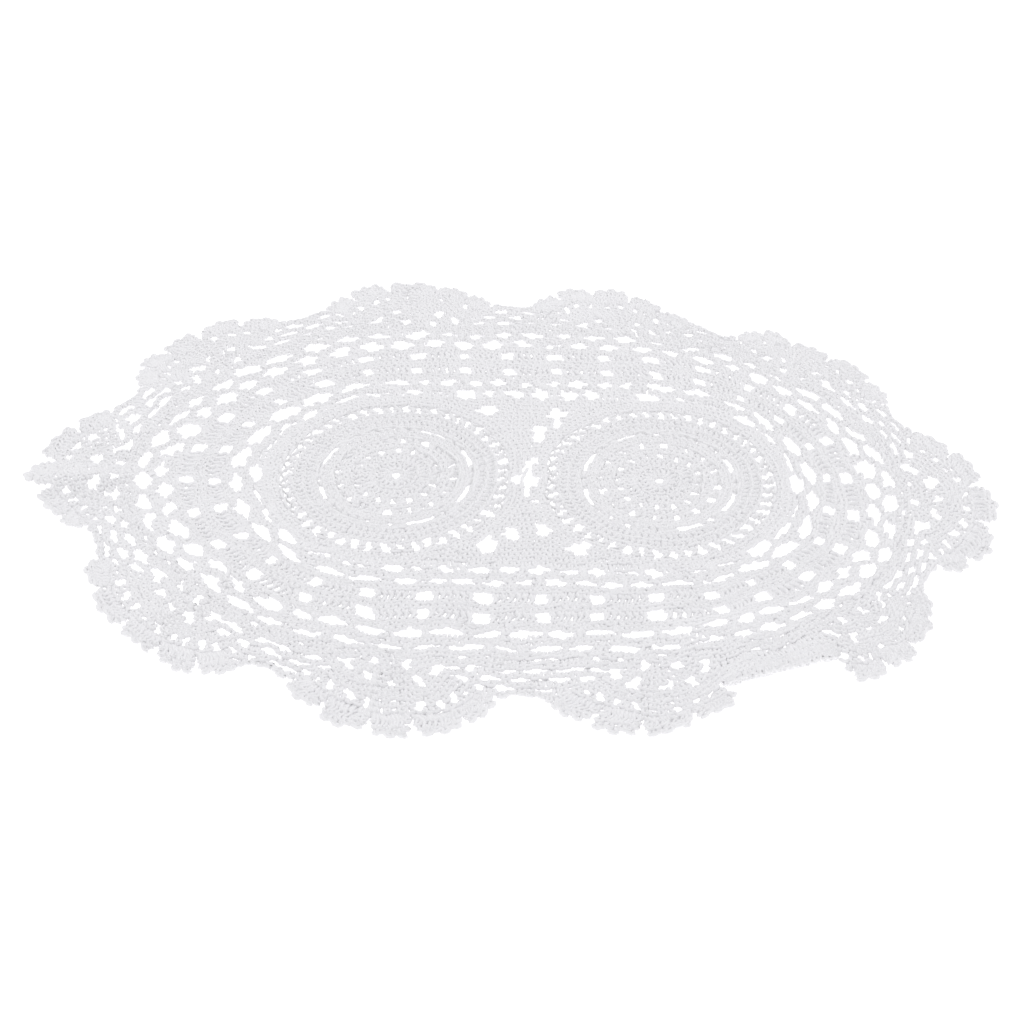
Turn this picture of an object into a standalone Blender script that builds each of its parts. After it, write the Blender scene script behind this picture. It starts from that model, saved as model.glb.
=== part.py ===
"""A lace doily: an oval mat of white crochet cotton, lying flat with one edge turned under.

The mat is charted flat first, with X along its length. Its two round medallions touch at
the middle, and every later round of crochet keeps one distance, its reach, from the
straight line between the medallions' centres, so each round is an oval with two straight
sides and two half circles. A place round an oval is a turn from 0 to 1, counted from the
middle of the near side towards +X. The chart is triangulated with its gaps left out, and
laid_point() then lays each of its points on the table as the cloth really settles.
"""
import math
from collections import namedtuple

import bmesh
import bpy
from mathutils import Vector
from mathutils.geometry import delaunay_2d_cdt

# Driving dimensions, in metres.
CLOTH = 0.0020              # thickness of the crochet
MEDALLION_X = 0.0568        # from the middle of the mat to each medallion's centre
BLOCK_GAUGE = 0.0810        # reach of the seam between the two rounds of blocks
EDGE_GAUGE = 0.1300         # reach of the valleys between the scallops
LIE_START = 0.0450          # inside this reach the mat lies exactly as charted
LIE_BODY = 0.0900           # reach at which the body pull of LIE holds
LIE_EDGE = 0.1270           # reach at which the edge pull holds
LIE_TIP = 0.1500            # reach at which the tip pull holds

# The rounds of gaps between chains. A gap fills its cell but for the bar beside it.
Net = namedtuple("Net", "name cells first reach bar depth end_depth gauge")
NETS = (
    Net("inner net", 42, 0.5, 0.0597, 0.0034, 0.0076, 0.0066, 0.0440),
    Net("second net", 42, 0.0, 0.0672, 0.0030, 0.0046, 0.0070, 0.0440),
    Net("outer net", 56, 0.0, 0.0972, 0.0034, 0.0060, 0.0062, 0.0970),
    Net("last net", 56, 0.5, 0.1050, 0.0036, 0.0048, 0.0052, 0.1000),
)
INNER_NET_OPEN = (0, 1, 2, 4, 7, 10)    # its wide cells, counted from a side's middle
INNER_NET_LAST = 10                     # the cell at the mat's end
GAP_CORNERS = 6
GAP_FULLNESS = 1.36                     # how far the long sides' corners are spread

# The eyelets that part the blocks of double crochet, in line from one round to the next.
Eyelets = namedtuple("Eyelets", "name count first reach width depth gauge")
BLOCK_EYELETS = (
    Eyelets("first block round", 32, 0.3, 0.0762, 0.0060, 0.0062, BLOCK_GAUGE),
    Eyelets("second block round", 32, 0.3, 0.0872, 0.0064, 0.0066, BLOCK_GAUGE),
)

# The long gaps round the petals of a medallion.
PETALS = 8
PETAL_SLIT_RADIUS = 0.0325
PETAL_SLIT_WIDTH = 0.0022
PETAL_SLIT_HALF_ANGLE = math.radians(12.5)

# The gaps of the chains that join the two medallions. A lean is a turn, in degrees.
Gap = namedtuple("Gap", "name x y width depth lean")
JOIN_GAPS = (
    Gap("middle slit", 0.0006, 0.0004, 0.0042, 0.0140, 12),
    Gap("near left", -0.0149, -0.0440, 0.0080, 0.0078, -10),
    Gap("near right", 0.0226, -0.0434, 0.0092, 0.0078, 4),
    Gap("near inner", -0.0052, -0.0356, 0.0064, 0.0070, 20),
    Gap("far left", -0.0202, 0.0478, 0.0096, 0.0074, 0),
    Gap("far right", 0.0130, 0.0462, 0.0076, 0.0086, -8),
    Gap("far inner", 0.0034, 0.0338, 0.0058, 0.0092, 10),
)

# The scallops: each is a fan of lobes round a point on its own axis.
SCALLOPS = 10
LOBES = 5
LOBE_ANGLE = math.radians(24)
FAN_BASE = 0.1080           # reach of the point that a fan spreads from
FAN_SPREAD = 1.20           # how much wider than high a fan is
FAN_FULLNESS = 0.80         # below 1 makes its sides squarer than an ellipse
VALLEY_REACH = 0.1296
VALLEY_SHOULDER = 0.0050    # half the width of the flat bottom of a valley
SLIT_HALF_WIDTH = 0.0013    # of the two notches beside the turned edge

# The rim of one lobe: how far along its angle, and how far out from the fan's base.
RimPoint = namedtuple("RimPoint", "name along out")
LOBE_RIM = (
    RimPoint("notch", -0.50, 0.0366),
    RimPoint("shoulder", -0.44, 0.0408),
    RimPoint("first picot", -0.33, 0.0436),
    RimPoint("first dip", -0.17, 0.0423),
    RimPoint("middle picot", 0.00, 0.0444),
    RimPoint("second dip", 0.17, 0.0423),
    RimPoint("last picot", 0.33, 0.0436),
    RimPoint("last shoulder", 0.44, 0.0408),
)

# The eyelets cut in each fan.
FanGap = namedtuple("FanGap", "name lobes_off out width depth")
FAN_GAPS = (
    FanGap("web eyelet", 0.0, 0.0160, 0.0062, 0.0050),
    FanGap("left root eyelet", -0.5, 0.0268, 0.0048, 0.0058),
    FanGap("right root eyelet", 0.5, 0.0268, 0.0048, 0.0058),
)

# How the mat lies, at each valley and scallop. walk is a length round the oval at
# BLOCK_GAUGE from the middle of the near side. body, edge and tip are pulls on the reach,
# body_drift and tip_drift are slides along the round.
Lie = namedtuple("Lie", "name walk body edge tip body_drift tip_drift")
LIE = (
    Lie("near valley", 0.000, 1.000, 1.002, 1.020, 0.002, 0.004),
    Lie("near right scallop", 0.046, 0.975, 0.990, 0.990, 0.001, 0.008),
    Lie("turned edge, first notch", 0.070, 0.955, 0.968, 0.915, 0.004, 0.001),
    Lie("turned edge, last notch", 0.104, 0.950, 0.972, 0.950, -0.002, -0.001),
    Lie("gathered scallop", 0.122, 0.955, 0.960, 0.930, -0.002, -0.003),
    Lie("right end, near valley", 0.152, 0.975, 0.941, 0.915, -0.004, -0.009),
    Lie("right end scallop", 0.184, 0.930, 0.940, 0.942, -0.003, -0.005),
    Lie("right end, far valley", 0.217, 0.910, 0.903, 0.905, 0.001, 0.003),
    Lie("far right corner scallop", 0.249, 0.920, 0.875, 0.838, 0.007, 0.011),
    Lie("far right corner valley", 0.282, 0.975, 0.887, 0.880, 0.007, 0.009),
    Lie("far right scallop", 0.316, 1.030, 0.965, 0.980, 0.007, 0.020),
    Lie("far valley", 0.368, 1.030, 1.003, 1.000, 0.005, 0.014),
    Lie("far left scallop", 0.420, 1.020, 1.000, 0.990, 0.001, 0.006),
    Lie("far left corner valley", 0.455, 1.000, 1.003, 1.015, 0.001, 0.007),
    Lie("far left corner scallop", 0.487, 1.000, 1.000, 0.985, 0.004, 0.008),
    Lie("left end, far valley", 0.520, 1.010, 1.040, 1.040, 0.002, 0.001),
    Lie("left end scallop", 0.552, 1.040, 1.050, 1.055, 0.000, 0.004),
    Lie("left end, near valley", 0.585, 0.990, 1.003, 0.982, -0.004, -0.003),
    Lie("near left corner scallop", 0.617, 0.940, 0.945, 0.937, -0.004, 0.008),
    Lie("near left corner valley", 0.650, 0.965, 0.965, 0.985, 0.000, 0.005),
    Lie("near left scallop", 0.690, 1.000, 1.000, 1.018, 0.001, 0.011),
)

# Soft ridges that run outwards through the border, at a turn taken at EDGE_GAUGE.
Ridge = namedtuple("Ridge", "name turn height half_width")
RIDGES = (
    Ridge("near right scallop", 0.035, 0.0011, 0.0140),
    Ridge("gathered scallop, first", 0.147, 0.0026, 0.0060),
    Ridge("gathered scallop, second", 0.168, 0.0030, 0.0065),
    Ridge("gathered scallop, last", 0.188, 0.0020, 0.0060),
    Ridge("right end", 0.262, 0.0012, 0.0130),
    Ridge("far right corner, first", 0.334, 0.0018, 0.0080),
    Ridge("far right corner, last", 0.372, 0.0022, 0.0080),
    Ridge("far right valley", 0.405, 0.0020, 0.0070),
    Ridge("far middle", 0.480, 0.0012, 0.0160),
    Ridge("far left", 0.560, 0.0012, 0.0150),
    Ridge("far left corner", 0.640, 0.0014, 0.0110),
    Ridge("left end, far side", 0.722, 0.0014, 0.0080),
    Ridge("left end, curled lobe", 0.755, 0.0048, 0.0070),
    Ridge("near left corner", 0.850, 0.0016, 0.0110),
    Ridge("near left scallop", 0.945, 0.0012, 0.0150),
)
RIDGE_START = 0.0850        # reach where the ridges begin to rise
RIDGE_FULL = 0.1420         # reach where they have their full height

# The turned edge: the cloth between two deep notches is rolled under along a straight line.
TURN_REACH = 0.1270         # reach of the two ends of the roll
TURN_NOTCH = 0.0257         # how far each end is from its own scallop's axis
TURN_SCALLOPS = (0, 1)
TURN_RADIUS = 0.0015        # middle of the cloth's thickness in the roll
TURN_UNDER = 0.0240         # how deep the turned layer lies under the mat
TURN_RAMP = 0.0160          # over this length the mat comes down again beside it
ROLL_ROWS = 4               # rows of faces round the roll
ROLL_STEP = 0.0060          # between the points of a row

# The mat stands a hair off the table, but for the tips of a few picots that touch it.
MIDDLE_CLEAR = 0.00005      # under the middle of the mat
EDGE_CLEAR = 0.0003         # under its border
CLEAR_START = 0.0300        # reach where the one begins to turn into the other
CLEAR_FULL = 0.0700
Rest = namedtuple("Rest", "name scallop lobe picot")
RESTS = (
    Rest("near right", 1, 1, "middle picot"),
    Rest("right end", 2, 1, "first picot"),
    Rest("far right", 4, 1, "middle picot"),
    Rest("far left", 6, 3, "last picot"),
    Rest("near left", 8, 4, "first picot"),
)
REST_FOUND = 0.00001        # how near a chart point must be to a tip to be it

# The inner points that let the border bend.
BEND_REACHES = (0.1125, 0.1205)
BEND_SPACING = 0.0150
BEND_LOBE_OUT = 0.0345      # one in the root of each lobe
BEND_CLEARANCE = 0.0016     # from such a point to the rim of a gap
BEND_CLEAR_INSIDE = 0.0040  # and from the rows of the roll
BEND_CLEAR_BEYOND = 0.0080
NORMAL_STEP = 0.0002        # between the points that a normal is taken from


def smooth(value):
    """An S-shaped step from 0 to 1."""
    value = min(max(value, 0.0), 1.0)
    return value * value * (3 - 2 * value)


def oval_length(reach):
    """Length of the whole oval at a reach."""
    return 4 * MEDALLION_X + 2 * math.pi * reach


def oval_frame(turn, reach, gauge):
    """Chart point at a turn taken at the gauge reach, with its along and outward directions."""
    side = 2 * MEDALLION_X
    bend = math.pi * gauge
    walk = (turn * oval_length(gauge) + side / 2) % oval_length(gauge)
    if walk < side:
        centre, angle = Vector((walk - side / 2, 0)), -math.pi / 2
    elif walk < side + bend:
        centre, angle = Vector((side / 2, 0)), (walk - side) / gauge - math.pi / 2
    elif walk < 2 * side + bend:
        centre, angle = Vector((1.5 * side + bend - walk, 0)), math.pi / 2
    else:
        centre, angle = Vector((-side / 2, 0)), (walk - 2 * side - bend) / gauge + math.pi / 2
    outward = Vector((math.cos(angle), math.sin(angle)))
    along = Vector((-outward.y, outward.x))
    return centre + reach * outward, along, outward


def oval_place(point):
    """The walk at BLOCK_GAUGE and the reach of a chart point."""
    side = 2 * MEDALLION_X
    bend = math.pi * BLOCK_GAUGE
    middle = Vector((min(max(point.x, -MEDALLION_X), MEDALLION_X), 0))
    away = point - middle
    if abs(point.x) <= MEDALLION_X:
        if point.y < 0:
            return point.x % oval_length(BLOCK_GAUGE), away.length
        return side + bend - point.x, away.length
    angle = math.atan2(away.y, away.x)
    if point.x > 0:
        return side / 2 + (angle + math.pi / 2) * BLOCK_GAUGE, away.length
    return 1.5 * side + bend + ((angle - math.pi / 2) % (2 * math.pi)) * BLOCK_GAUGE, away.length


def fan_point(scallop, angle, out):
    """Chart point of a scallop's fan, at an angle off its axis and out from its base."""
    beside = FAN_SPREAD * out * math.sin(angle)
    turn = (scallop + 0.5) / SCALLOPS + beside / oval_length(EDGE_GAUGE)
    return oval_frame(turn, FAN_BASE + out * math.cos(angle) ** FAN_FULLNESS, EDGE_GAUGE)


def gap_rim(centre, along, outward, width, depth):
    """Six corners of a gap, counter-clockwise: two ends, and two on each long side."""
    corners = []
    turning = math.copysign(1, along.cross(outward))
    for step in range(GAP_CORNERS):
        angle = turning * 2 * math.pi * step / GAP_CORNERS
        spread = 1.0 if step % 3 == 0 else GAP_FULLNESS
        beside = width / 2 * math.cos(angle) * spread
        out = depth / 2 * math.sin(angle) / math.sin(2 * math.pi / GAP_CORNERS)
        corners.append(centre + beside * along + out * outward)
    return corners


def net_gaps(net):
    """The gaps of one net round, as wide as their cells leave them."""
    gaps = []
    for cell in range(net.cells):
        if net.name == "inner net":
            from_middle = min(cell, net.cells - 1 - cell)
            from_middle = min(from_middle, 2 * INNER_NET_LAST - from_middle)
            if from_middle not in INNER_NET_OPEN:
                continue
        turn = (cell + net.first) / net.cells
        centre, along, outward = oval_frame(turn, net.reach, net.gauge)
        at_end = abs(outward.x)
        pitch = oval_length(net.gauge) / net.cells * (1 + at_end * (net.reach / net.gauge - 1))
        depth = net.depth + at_end * (net.end_depth - net.depth)
        gaps.append(gap_rim(centre, along, outward, pitch - net.bar, depth))
    return gaps


def eyelet_gaps(eyelets):
    """The eyelets of one round of blocks."""
    gaps = []
    for number in range(eyelets.count):
        turn = (number + eyelets.first) / eyelets.count
        centre, along, outward = oval_frame(turn, eyelets.reach, eyelets.gauge)
        gaps.append(gap_rim(centre, along, outward, eyelets.width, eyelets.depth))
    return gaps


def petal_slits(medallion_x):
    """The eight bent slits round the petals of a medallion."""
    gaps = []
    for petal in range(PETALS):
        middle = 2 * math.pi * (petal + 0.5) / PETALS
        corners = []
        for step in range(GAP_CORNERS):
            angle = 2 * math.pi * step / GAP_CORNERS
            radius = PETAL_SLIT_RADIUS - PETAL_SLIT_WIDTH / 2 * math.sin(angle)
            bearing = middle + PETAL_SLIT_HALF_ANGLE * math.cos(angle)
            corners.append(Vector((medallion_x + radius * math.cos(bearing),
                                   radius * math.sin(bearing))))
        gaps.append(corners)
    return gaps


def join_gaps():
    """The gaps between the chains that join the medallions."""
    gaps = []
    for gap in JOIN_GAPS:
        lean = math.radians(gap.lean)
        along = Vector((math.cos(lean), math.sin(lean)))
        outward = Vector((-along.y, along.x))
        gaps.append(gap_rim(Vector((gap.x, gap.y)), along, outward, gap.width, gap.depth))
    return gaps


def fan_gaps(scallop):
    """The eyelets of one scallop's fan."""
    gaps = []
    for gap in FAN_GAPS:
        centre, along, outward = fan_point(scallop, gap.lobes_off * LOBE_ANGLE, gap.out)
        gaps.append(gap_rim(centre, along, outward, gap.width, gap.depth))
    return gaps


def turned_end(scallop):
    """Chart point where the roll ends in a scallop's deep notch, and the along direction."""
    beside = TURN_NOTCH if scallop == TURN_SCALLOPS[0] else -TURN_NOTCH
    turn = (scallop + 0.5) / SCALLOPS + beside / oval_length(EDGE_GAUGE)
    point, along, outward = oval_frame(turn, TURN_REACH, EDGE_GAUGE)
    return point, along


def is_deep_notch(scallop, lobe):
    """Whether the notch before a lobe is one of the two beside the turned edge."""
    return (scallop, lobe) in ((TURN_SCALLOPS[0], LOBES - 1), (TURN_SCALLOPS[1], 1))


def lobe_point(scallop, lobe, rim_point):
    """Chart point on the rim of a lobe."""
    angle = (lobe - (LOBES - 1) / 2 + rim_point.along) * LOBE_ANGLE
    return fan_point(scallop, angle, rim_point.out)[0]


def rest_points():
    """Chart points of the picots that touch the table."""
    tips = {rim_point.name: rim_point for rim_point in LOBE_RIM}
    return [lobe_point(rest.scallop, rest.lobe, tips[rest.picot]) for rest in RESTS]


def outline():
    """The scalloped outline of the chart, counter-clockwise."""
    rim = []
    shoulder = VALLEY_SHOULDER / oval_length(EDGE_GAUGE)
    for scallop in range(SCALLOPS):
        for side in (-shoulder, shoulder):
            rim.append(oval_frame(scallop / SCALLOPS + side, VALLEY_REACH, EDGE_GAUGE)[0])
        for lobe in range(LOBES):
            for point in LOBE_RIM:
                if point.name != "notch":
                    rim.append(lobe_point(scallop, lobe, point))
                elif is_deep_notch(scallop, lobe):
                    end, along = turned_end(scallop)
                    rim += [end - SLIT_HALF_WIDTH * along, end + SLIT_HALF_WIDTH * along]
                elif lobe > 0:
                    rim.append(lobe_point(scallop, lobe, point))
    return rim


def roll_frame():
    """First end of the roll, its length, and its along and outward directions."""
    first, last = (turned_end(scallop)[0] for scallop in TURN_SCALLOPS)
    along = (last - first).normalized()
    return first, (last - first).length, along, Vector((along.y, -along.x))


def clearance(point):
    """How far the mat stands off the table at a chart point."""
    rise = smooth((oval_place(point)[1] - CLEAR_START) / (CLEAR_FULL - CLEAR_START))
    return MIDDLE_CLEAR + rise * (EDGE_CLEAR - MIDDLE_CLEAR)


def ripple(point):
    """Height that the border's soft ridges add at a chart point."""
    rise = smooth((oval_place(point)[1] - RIDGE_START) / (RIDGE_FULL - RIDGE_START))
    if rise == 0:
        return 0.0
    height = 0.0
    for ridge in RIDGES:
        crest, along, outward = oval_frame(ridge.turn, EDGE_GAUGE, EDGE_GAUGE)
        beside = (point - crest).dot(along)
        if (point - crest).dot(outward) > -EDGE_GAUGE:
            height += ridge.height * math.exp(-(beside / ridge.half_width) ** 2)
    return rise * height


def between(value, low, high):
    """How far a value is from low to high, from 0 to 1."""
    return min(max((value - low) / (high - low), 0.0), 1.0)


def pulled(point):
    """Chart point after the pulls and drifts of LIE."""
    walk, reach = oval_place(point)
    total = oval_length(BLOCK_GAUGE)
    before = max((row for row in LIE if row.walk <= walk), key=lambda row: row.walk)
    after = LIE[(LIE.index(before) + 1) % len(LIE)]
    blend = smooth(((walk - before.walk) % total) / ((after.walk - before.walk) % total))
    body, edge, tip, body_drift, tip_drift = (
        one + blend * (other - one) for one, other in zip(before[2:], after[2:]))
    start = smooth(between(reach, LIE_START, LIE_BODY))
    pull = 1 + start * (body - 1)
    pull += between(reach, LIE_BODY, LIE_EDGE) * (edge - body)
    pull += between(reach, LIE_EDGE, LIE_TIP) * (tip - edge)
    drift = start * body_drift + between(reach, LIE_BODY, LIE_TIP) * (tip_drift - body_drift)
    return oval_frame((walk + drift) / total, reach * pull, BLOCK_GAUGE)[0]


def laid_point(point):
    """Where the middle of the cloth's thickness lies on the table for a chart point."""
    first, length, along, outward = ROLL
    beside = (point - first).dot(along)
    beyond = (point - first).dot(outward)
    lift = smooth(1 + beside / TURN_RAMP) * smooth(1 + (length - beside) / TURN_RAMP)
    height = CLOTH / 2
    flat = point
    if 0 < beside < length and beyond > 0:
        angle = min(beyond / TURN_RADIUS, math.pi)
        straight = max(beyond - math.pi * TURN_RADIUS, 0)
        flat = point + (TURN_RADIUS * math.sin(angle) - straight - beyond) * outward
        height += TURN_RADIUS * (1 + math.cos(angle))
    elif beyond > 0:
        height += 2 * TURN_RADIUS * lift * smooth(1 - beyond / TURN_RAMP)
    else:
        height += 2 * TURN_RADIUS * lift * smooth(1 + (beyond + TURN_UNDER) / TURN_RAMP)
    place = pulled(flat)
    return Vector((place.x, place.y, height + clearance(flat) + ripple(flat)))


def laid_normal(point):
    """Upward direction of the laid cloth at a chart point."""
    here = laid_point(point)
    right = laid_point(point + Vector((NORMAL_STEP, 0))) - here
    back = laid_point(point + Vector((0, NORMAL_STEP))) - here
    return right.cross(back).normalized()


def roll_rows():
    """Rows of chart points that let the turned edge bend round its roll."""
    first, length, along, outward = ROLL
    count = round(length / ROLL_STEP)
    inset = 2 * SLIT_HALF_WIDTH
    rows = []
    for row in range(ROLL_ROWS + 1):
        beyond = math.pi * TURN_RADIUS * row / ROLL_ROWS
        line = []
        for step in range(count + 1):
            beside = inset + (length - 2 * inset) * step / count
            line.append(first + beside * along + beyond * outward)
        rows.append(line)
    return rows


def is_near_roll(point):
    """Whether a chart point is too close to the rows of the roll."""
    first, length, along, outward = ROLL
    beside = (point - first).dot(along)
    beyond = (point - first).dot(outward)
    inside = -BEND_CLEAR_INSIDE < beside < length + BEND_CLEAR_INSIDE
    return inside and -BEND_CLEAR_INSIDE < beyond < BEND_CLEAR_BEYOND


def border_points(gaps):
    """Inner points of the border, clear of the gaps and of the roll."""
    points = []
    for reach in BEND_REACHES:
        count = round(oval_length(reach) / BEND_SPACING)
        for step in range(count):
            points.append(oval_frame(step / count, reach, EDGE_GAUGE)[0])
    for scallop in range(SCALLOPS):
        for lobe in range(LOBES):
            angle = (lobe - (LOBES - 1) / 2) * LOBE_ANGLE
            points.append(fan_point(scallop, angle, BEND_LOBE_OUT)[0])
    centres = [sum(gap, Vector((0, 0))) / len(gap) for gap in gaps]
    clearances = [(gap[0] - centre).length + BEND_CLEARANCE for gap, centre in zip(gaps, centres)]
    clear = []
    for point in points:
        if is_near_roll(point):
            continue
        if all((point - centre).length > clearance
               for centre, clearance in zip(centres, clearances)):
            clear.append(point)
    return clear


def chart_triangles():
    """Points and triangles of the flat chart, with every gap left open."""
    gaps = []
    for net in NETS:
        gaps += net_gaps(net)
    for eyelets in BLOCK_EYELETS:
        gaps += eyelet_gaps(eyelets)
    for medallion_x in (-MEDALLION_X, MEDALLION_X):
        gaps += petal_slits(medallion_x)
    gaps += join_gaps()
    for scallop in range(SCALLOPS):
        gaps += fan_gaps(scallop)
    print(len(gaps), "gaps")

    points = []
    loops = []
    for loop in [outline()] + gaps:
        loops.append(list(range(len(points), len(points) + len(loop))))
        points += loop
    edges = []
    for row in roll_rows():
        edges += [(len(points) + step, len(points) + step + 1) for step in range(len(row) - 1)]
        points += row
    points += border_points(gaps)
    chart, _, faces, _, _, origins = delaunay_2d_cdt(points, edges, loops, 1, 1e-6)
    triangles = [face for face, origin in zip(faces, origins) if list(origin) == [0]]
    return chart, triangles


def doily_mesh():
    """The closed sheet: a top and a bottom skin on the laid chart, and walls round each rim."""
    chart, triangles = chart_triangles()
    used = sorted({corner for triangle in triangles for corner in triangle})
    rests = rest_points()
    mesh = bmesh.new()
    top = {}
    bottom = {}
    for corner in used:
        middle = laid_point(chart[corner])
        half = laid_normal(chart[corner]) * (CLOTH / 2)
        if any((chart[corner] - rest).length < REST_FOUND for rest in rests):
            middle.z = half.z
        top[corner] = mesh.verts.new(middle + half)
        bottom[corner] = mesh.verts.new(middle - half)
    sides = set()
    for triangle in triangles:
        mesh.faces.new([top[corner] for corner in triangle])
        mesh.faces.new([bottom[corner] for corner in reversed(triangle)])
        sides.update((triangle[side - 1], triangle[side]) for side in range(3))
    for start, end in sides:
        if (end, start) not in sides:
            mesh.faces.new((top[end], top[start], bottom[start], bottom[end]))
    return mesh


def white_cotton():
    """White mercerised cotton, soft and matt."""
    material = bpy.data.materials.new("white cotton")
    material.use_nodes = True
    shader = material.node_tree.nodes["Principled BSDF"]
    shader.inputs["Base Color"].default_value = (0.80, 0.80, 0.83, 1)
    shader.inputs["Roughness"].default_value = 0.85
    shader.inputs["Metallic"].default_value = 0.0
    return material


def make_doily():
    """The mat, with its box's middle over the origin and its underside on Z = 0."""
    mesh = doily_mesh()
    lows = [min(vert.co[axis] for vert in mesh.verts) for axis in range(3)]
    highs = [max(vert.co[axis] for vert in mesh.verts) for axis in range(3)]
    print("size", [round(high - low, 4) for low, high in zip(lows, highs)])
    middle = Vector(((lows[0] + highs[0]) / 2, (lows[1] + highs[1]) / 2, 0))
    print("middle", middle, "lowest", lows[2])
    bmesh.ops.translate(mesh, verts=mesh.verts, vec=-middle)
    data = bpy.data.meshes.new("doily")
    mesh.to_mesh(data)
    mesh.free()
    doily = bpy.data.objects.new("doily", data)
    doily.data.materials.append(white_cotton())
    bpy.context.collection.objects.link(doily)
    print(len(data.loops) - 2 * len(data.polygons), "triangles")


for old in list(bpy.data.objects):
    bpy.data.objects.remove(old)
ROLL = roll_frame()
make_doily()
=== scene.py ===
# %% [markdown]
# # A crocheted lace doily
# The real mat is worked by hand from one ball of white cotton, in rounds. Two small round
# mats are joined at the middle, and every later round goes round both of them. A flat sheet
# with a picture of holes would look false from the side, so this lesson works the mat as the
# maker does: each stitch is a bent length of yarn, and thousands of them make the rounds.

# %% Load the frame
import math
from collections import namedtuple

import bpy
import numpy as np
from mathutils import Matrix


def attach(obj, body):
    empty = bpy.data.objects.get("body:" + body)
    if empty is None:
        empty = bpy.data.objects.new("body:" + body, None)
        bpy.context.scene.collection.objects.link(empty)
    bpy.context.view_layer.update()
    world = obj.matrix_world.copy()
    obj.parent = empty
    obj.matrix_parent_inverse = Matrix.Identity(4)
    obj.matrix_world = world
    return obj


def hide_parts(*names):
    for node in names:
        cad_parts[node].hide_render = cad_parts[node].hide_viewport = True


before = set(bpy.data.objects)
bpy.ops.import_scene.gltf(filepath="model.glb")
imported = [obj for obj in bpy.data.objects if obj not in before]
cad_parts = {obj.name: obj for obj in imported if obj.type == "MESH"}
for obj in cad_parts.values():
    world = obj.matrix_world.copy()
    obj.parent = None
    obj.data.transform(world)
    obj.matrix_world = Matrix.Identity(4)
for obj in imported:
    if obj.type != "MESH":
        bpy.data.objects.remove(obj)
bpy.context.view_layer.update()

# %% [markdown]
# ## The shape of the rounds
# The rounds are ovals: two straight sides and two half circles round the centres of the two
# small mats. A place in a round is a turn from 0 to 1, counted from the middle of the near
# side, and its reach, the distance from the straight line between the two centres. NumPy
# works out whole rounds at once, which is far quicker than a Python loop for each stitch.

# %% Oval rounds
MEDALLION_X = 0.0568        # from the middle of the mat to each small mat's centre
BLOCK_GAUGE = 0.0810        # reach of the seam between the two rounds of blocks
EDGE_GAUGE = 0.1300         # reach of the valleys between the scallops
SIDE = 2 * MEDALLION_X      # length of an oval's straight side
QUARTER = math.pi / 2       # a quarter of a full turn


def smooth(value):
    """An S-shaped step from 0 to 1."""
    value = np.clip(value, 0.0, 1.0)
    return value * value * (3 - 2 * value)


def oval_length(reach):
    """Length of the whole oval at a reach."""
    return 2 * SIDE + 2 * math.pi * reach


def oval_frame(turn, reach, gauge):
    """Points of a round and their outward directions, for turns taken at the gauge reach."""
    turn, reach = np.broadcast_arrays(np.asarray(turn, float), np.asarray(reach, float))
    bend = math.pi * gauge
    walk = (turn * oval_length(gauge) + SIDE / 2) % oval_length(gauge)
    parts = [walk < SIDE, walk < SIDE + bend, walk < 2 * SIDE + bend]
    centre = np.select(parts, [walk - SIDE / 2, SIDE / 2, 1.5 * SIDE + bend - walk], -SIDE / 2)
    angle = np.select(parts, [-QUARTER, (walk - SIDE) / gauge - QUARTER, QUARTER],
                      (walk - 2 * SIDE - bend) / gauge + QUARTER)
    outward = np.stack([np.cos(angle), np.sin(angle)], axis=-1)
    points = reach[..., None] * outward
    points[..., 0] += centre
    return points, outward


def oval_place(points, gauge=BLOCK_GAUGE):
    """The walk at the gauge reach, and the reach, of chart points."""
    x, y = points[..., 0], points[..., 1]
    bend = math.pi * gauge
    away = x - np.clip(x, -MEDALLION_X, MEDALLION_X)
    angle = np.arctan2(y, away)
    walk = np.select(
        [x > MEDALLION_X, x < -MEDALLION_X, y < 0],
        [SIDE / 2 + (angle + QUARTER) * gauge,
         1.5 * SIDE + bend + ((angle - QUARTER) % (2 * math.pi)) * gauge,
         x % oval_length(gauge)],
        SIDE + bend - x)
    return walk, np.hypot(away, y)


print("the block seam is", round(oval_length(BLOCK_GAUGE), 3), "m long")

# %% [markdown]
# ## The scallops
# Ten fans make the edge. Each spreads from a point of its own, five lobes wide, a little
# wider than a true circle. A place in a fan is an angle off its axis and a distance out.

# %% Places in a fan
SCALLOPS = 10
LOBES = 5
LOBE_ANGLE = math.radians(24)
FAN_BASE = 0.1080           # reach of the point that a fan spreads from
FAN_SPREAD = 1.20           # how much wider than high a fan is
FAN_FULLNESS = 0.80         # below 1 makes its sides squarer than an ellipse
FAN_STEP = 0.0005           # between the points that a fan's outward direction is taken from


def fan_points(scallop, angle, out):
    """Chart points of a scallop's fan, at angles off its axis and distances out."""
    beside = FAN_SPREAD * out * np.sin(angle)
    turn = (scallop + 0.5) / SCALLOPS + beside / oval_length(EDGE_GAUGE)
    return oval_frame(turn, FAN_BASE + out * np.cos(angle) ** FAN_FULLNESS, EDGE_GAUGE)[0]


def fan_frame(scallop, angle, out):
    """Chart points of a fan and the directions in which it spreads there."""
    points = fan_points(scallop, angle, out)
    outward = fan_points(scallop, angle, out + FAN_STEP) - points
    return points, outward / np.linalg.norm(outward, axis=-1, keepdims=True)


print(SCALLOPS, "fans of", LOBES, "lobes")

# %% [markdown]
# ## How the mat lies
# Cloth never lies as it was drawn. The table below pulls each part of the border in or out
# and slides it along, as the photographed mat has settled, and soft ridges run out through
# the edge. On the near right side the edge is turned under along a straight line. Every
# stitch is charted flat first and only then laid, so all the pieces bend together.

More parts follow.
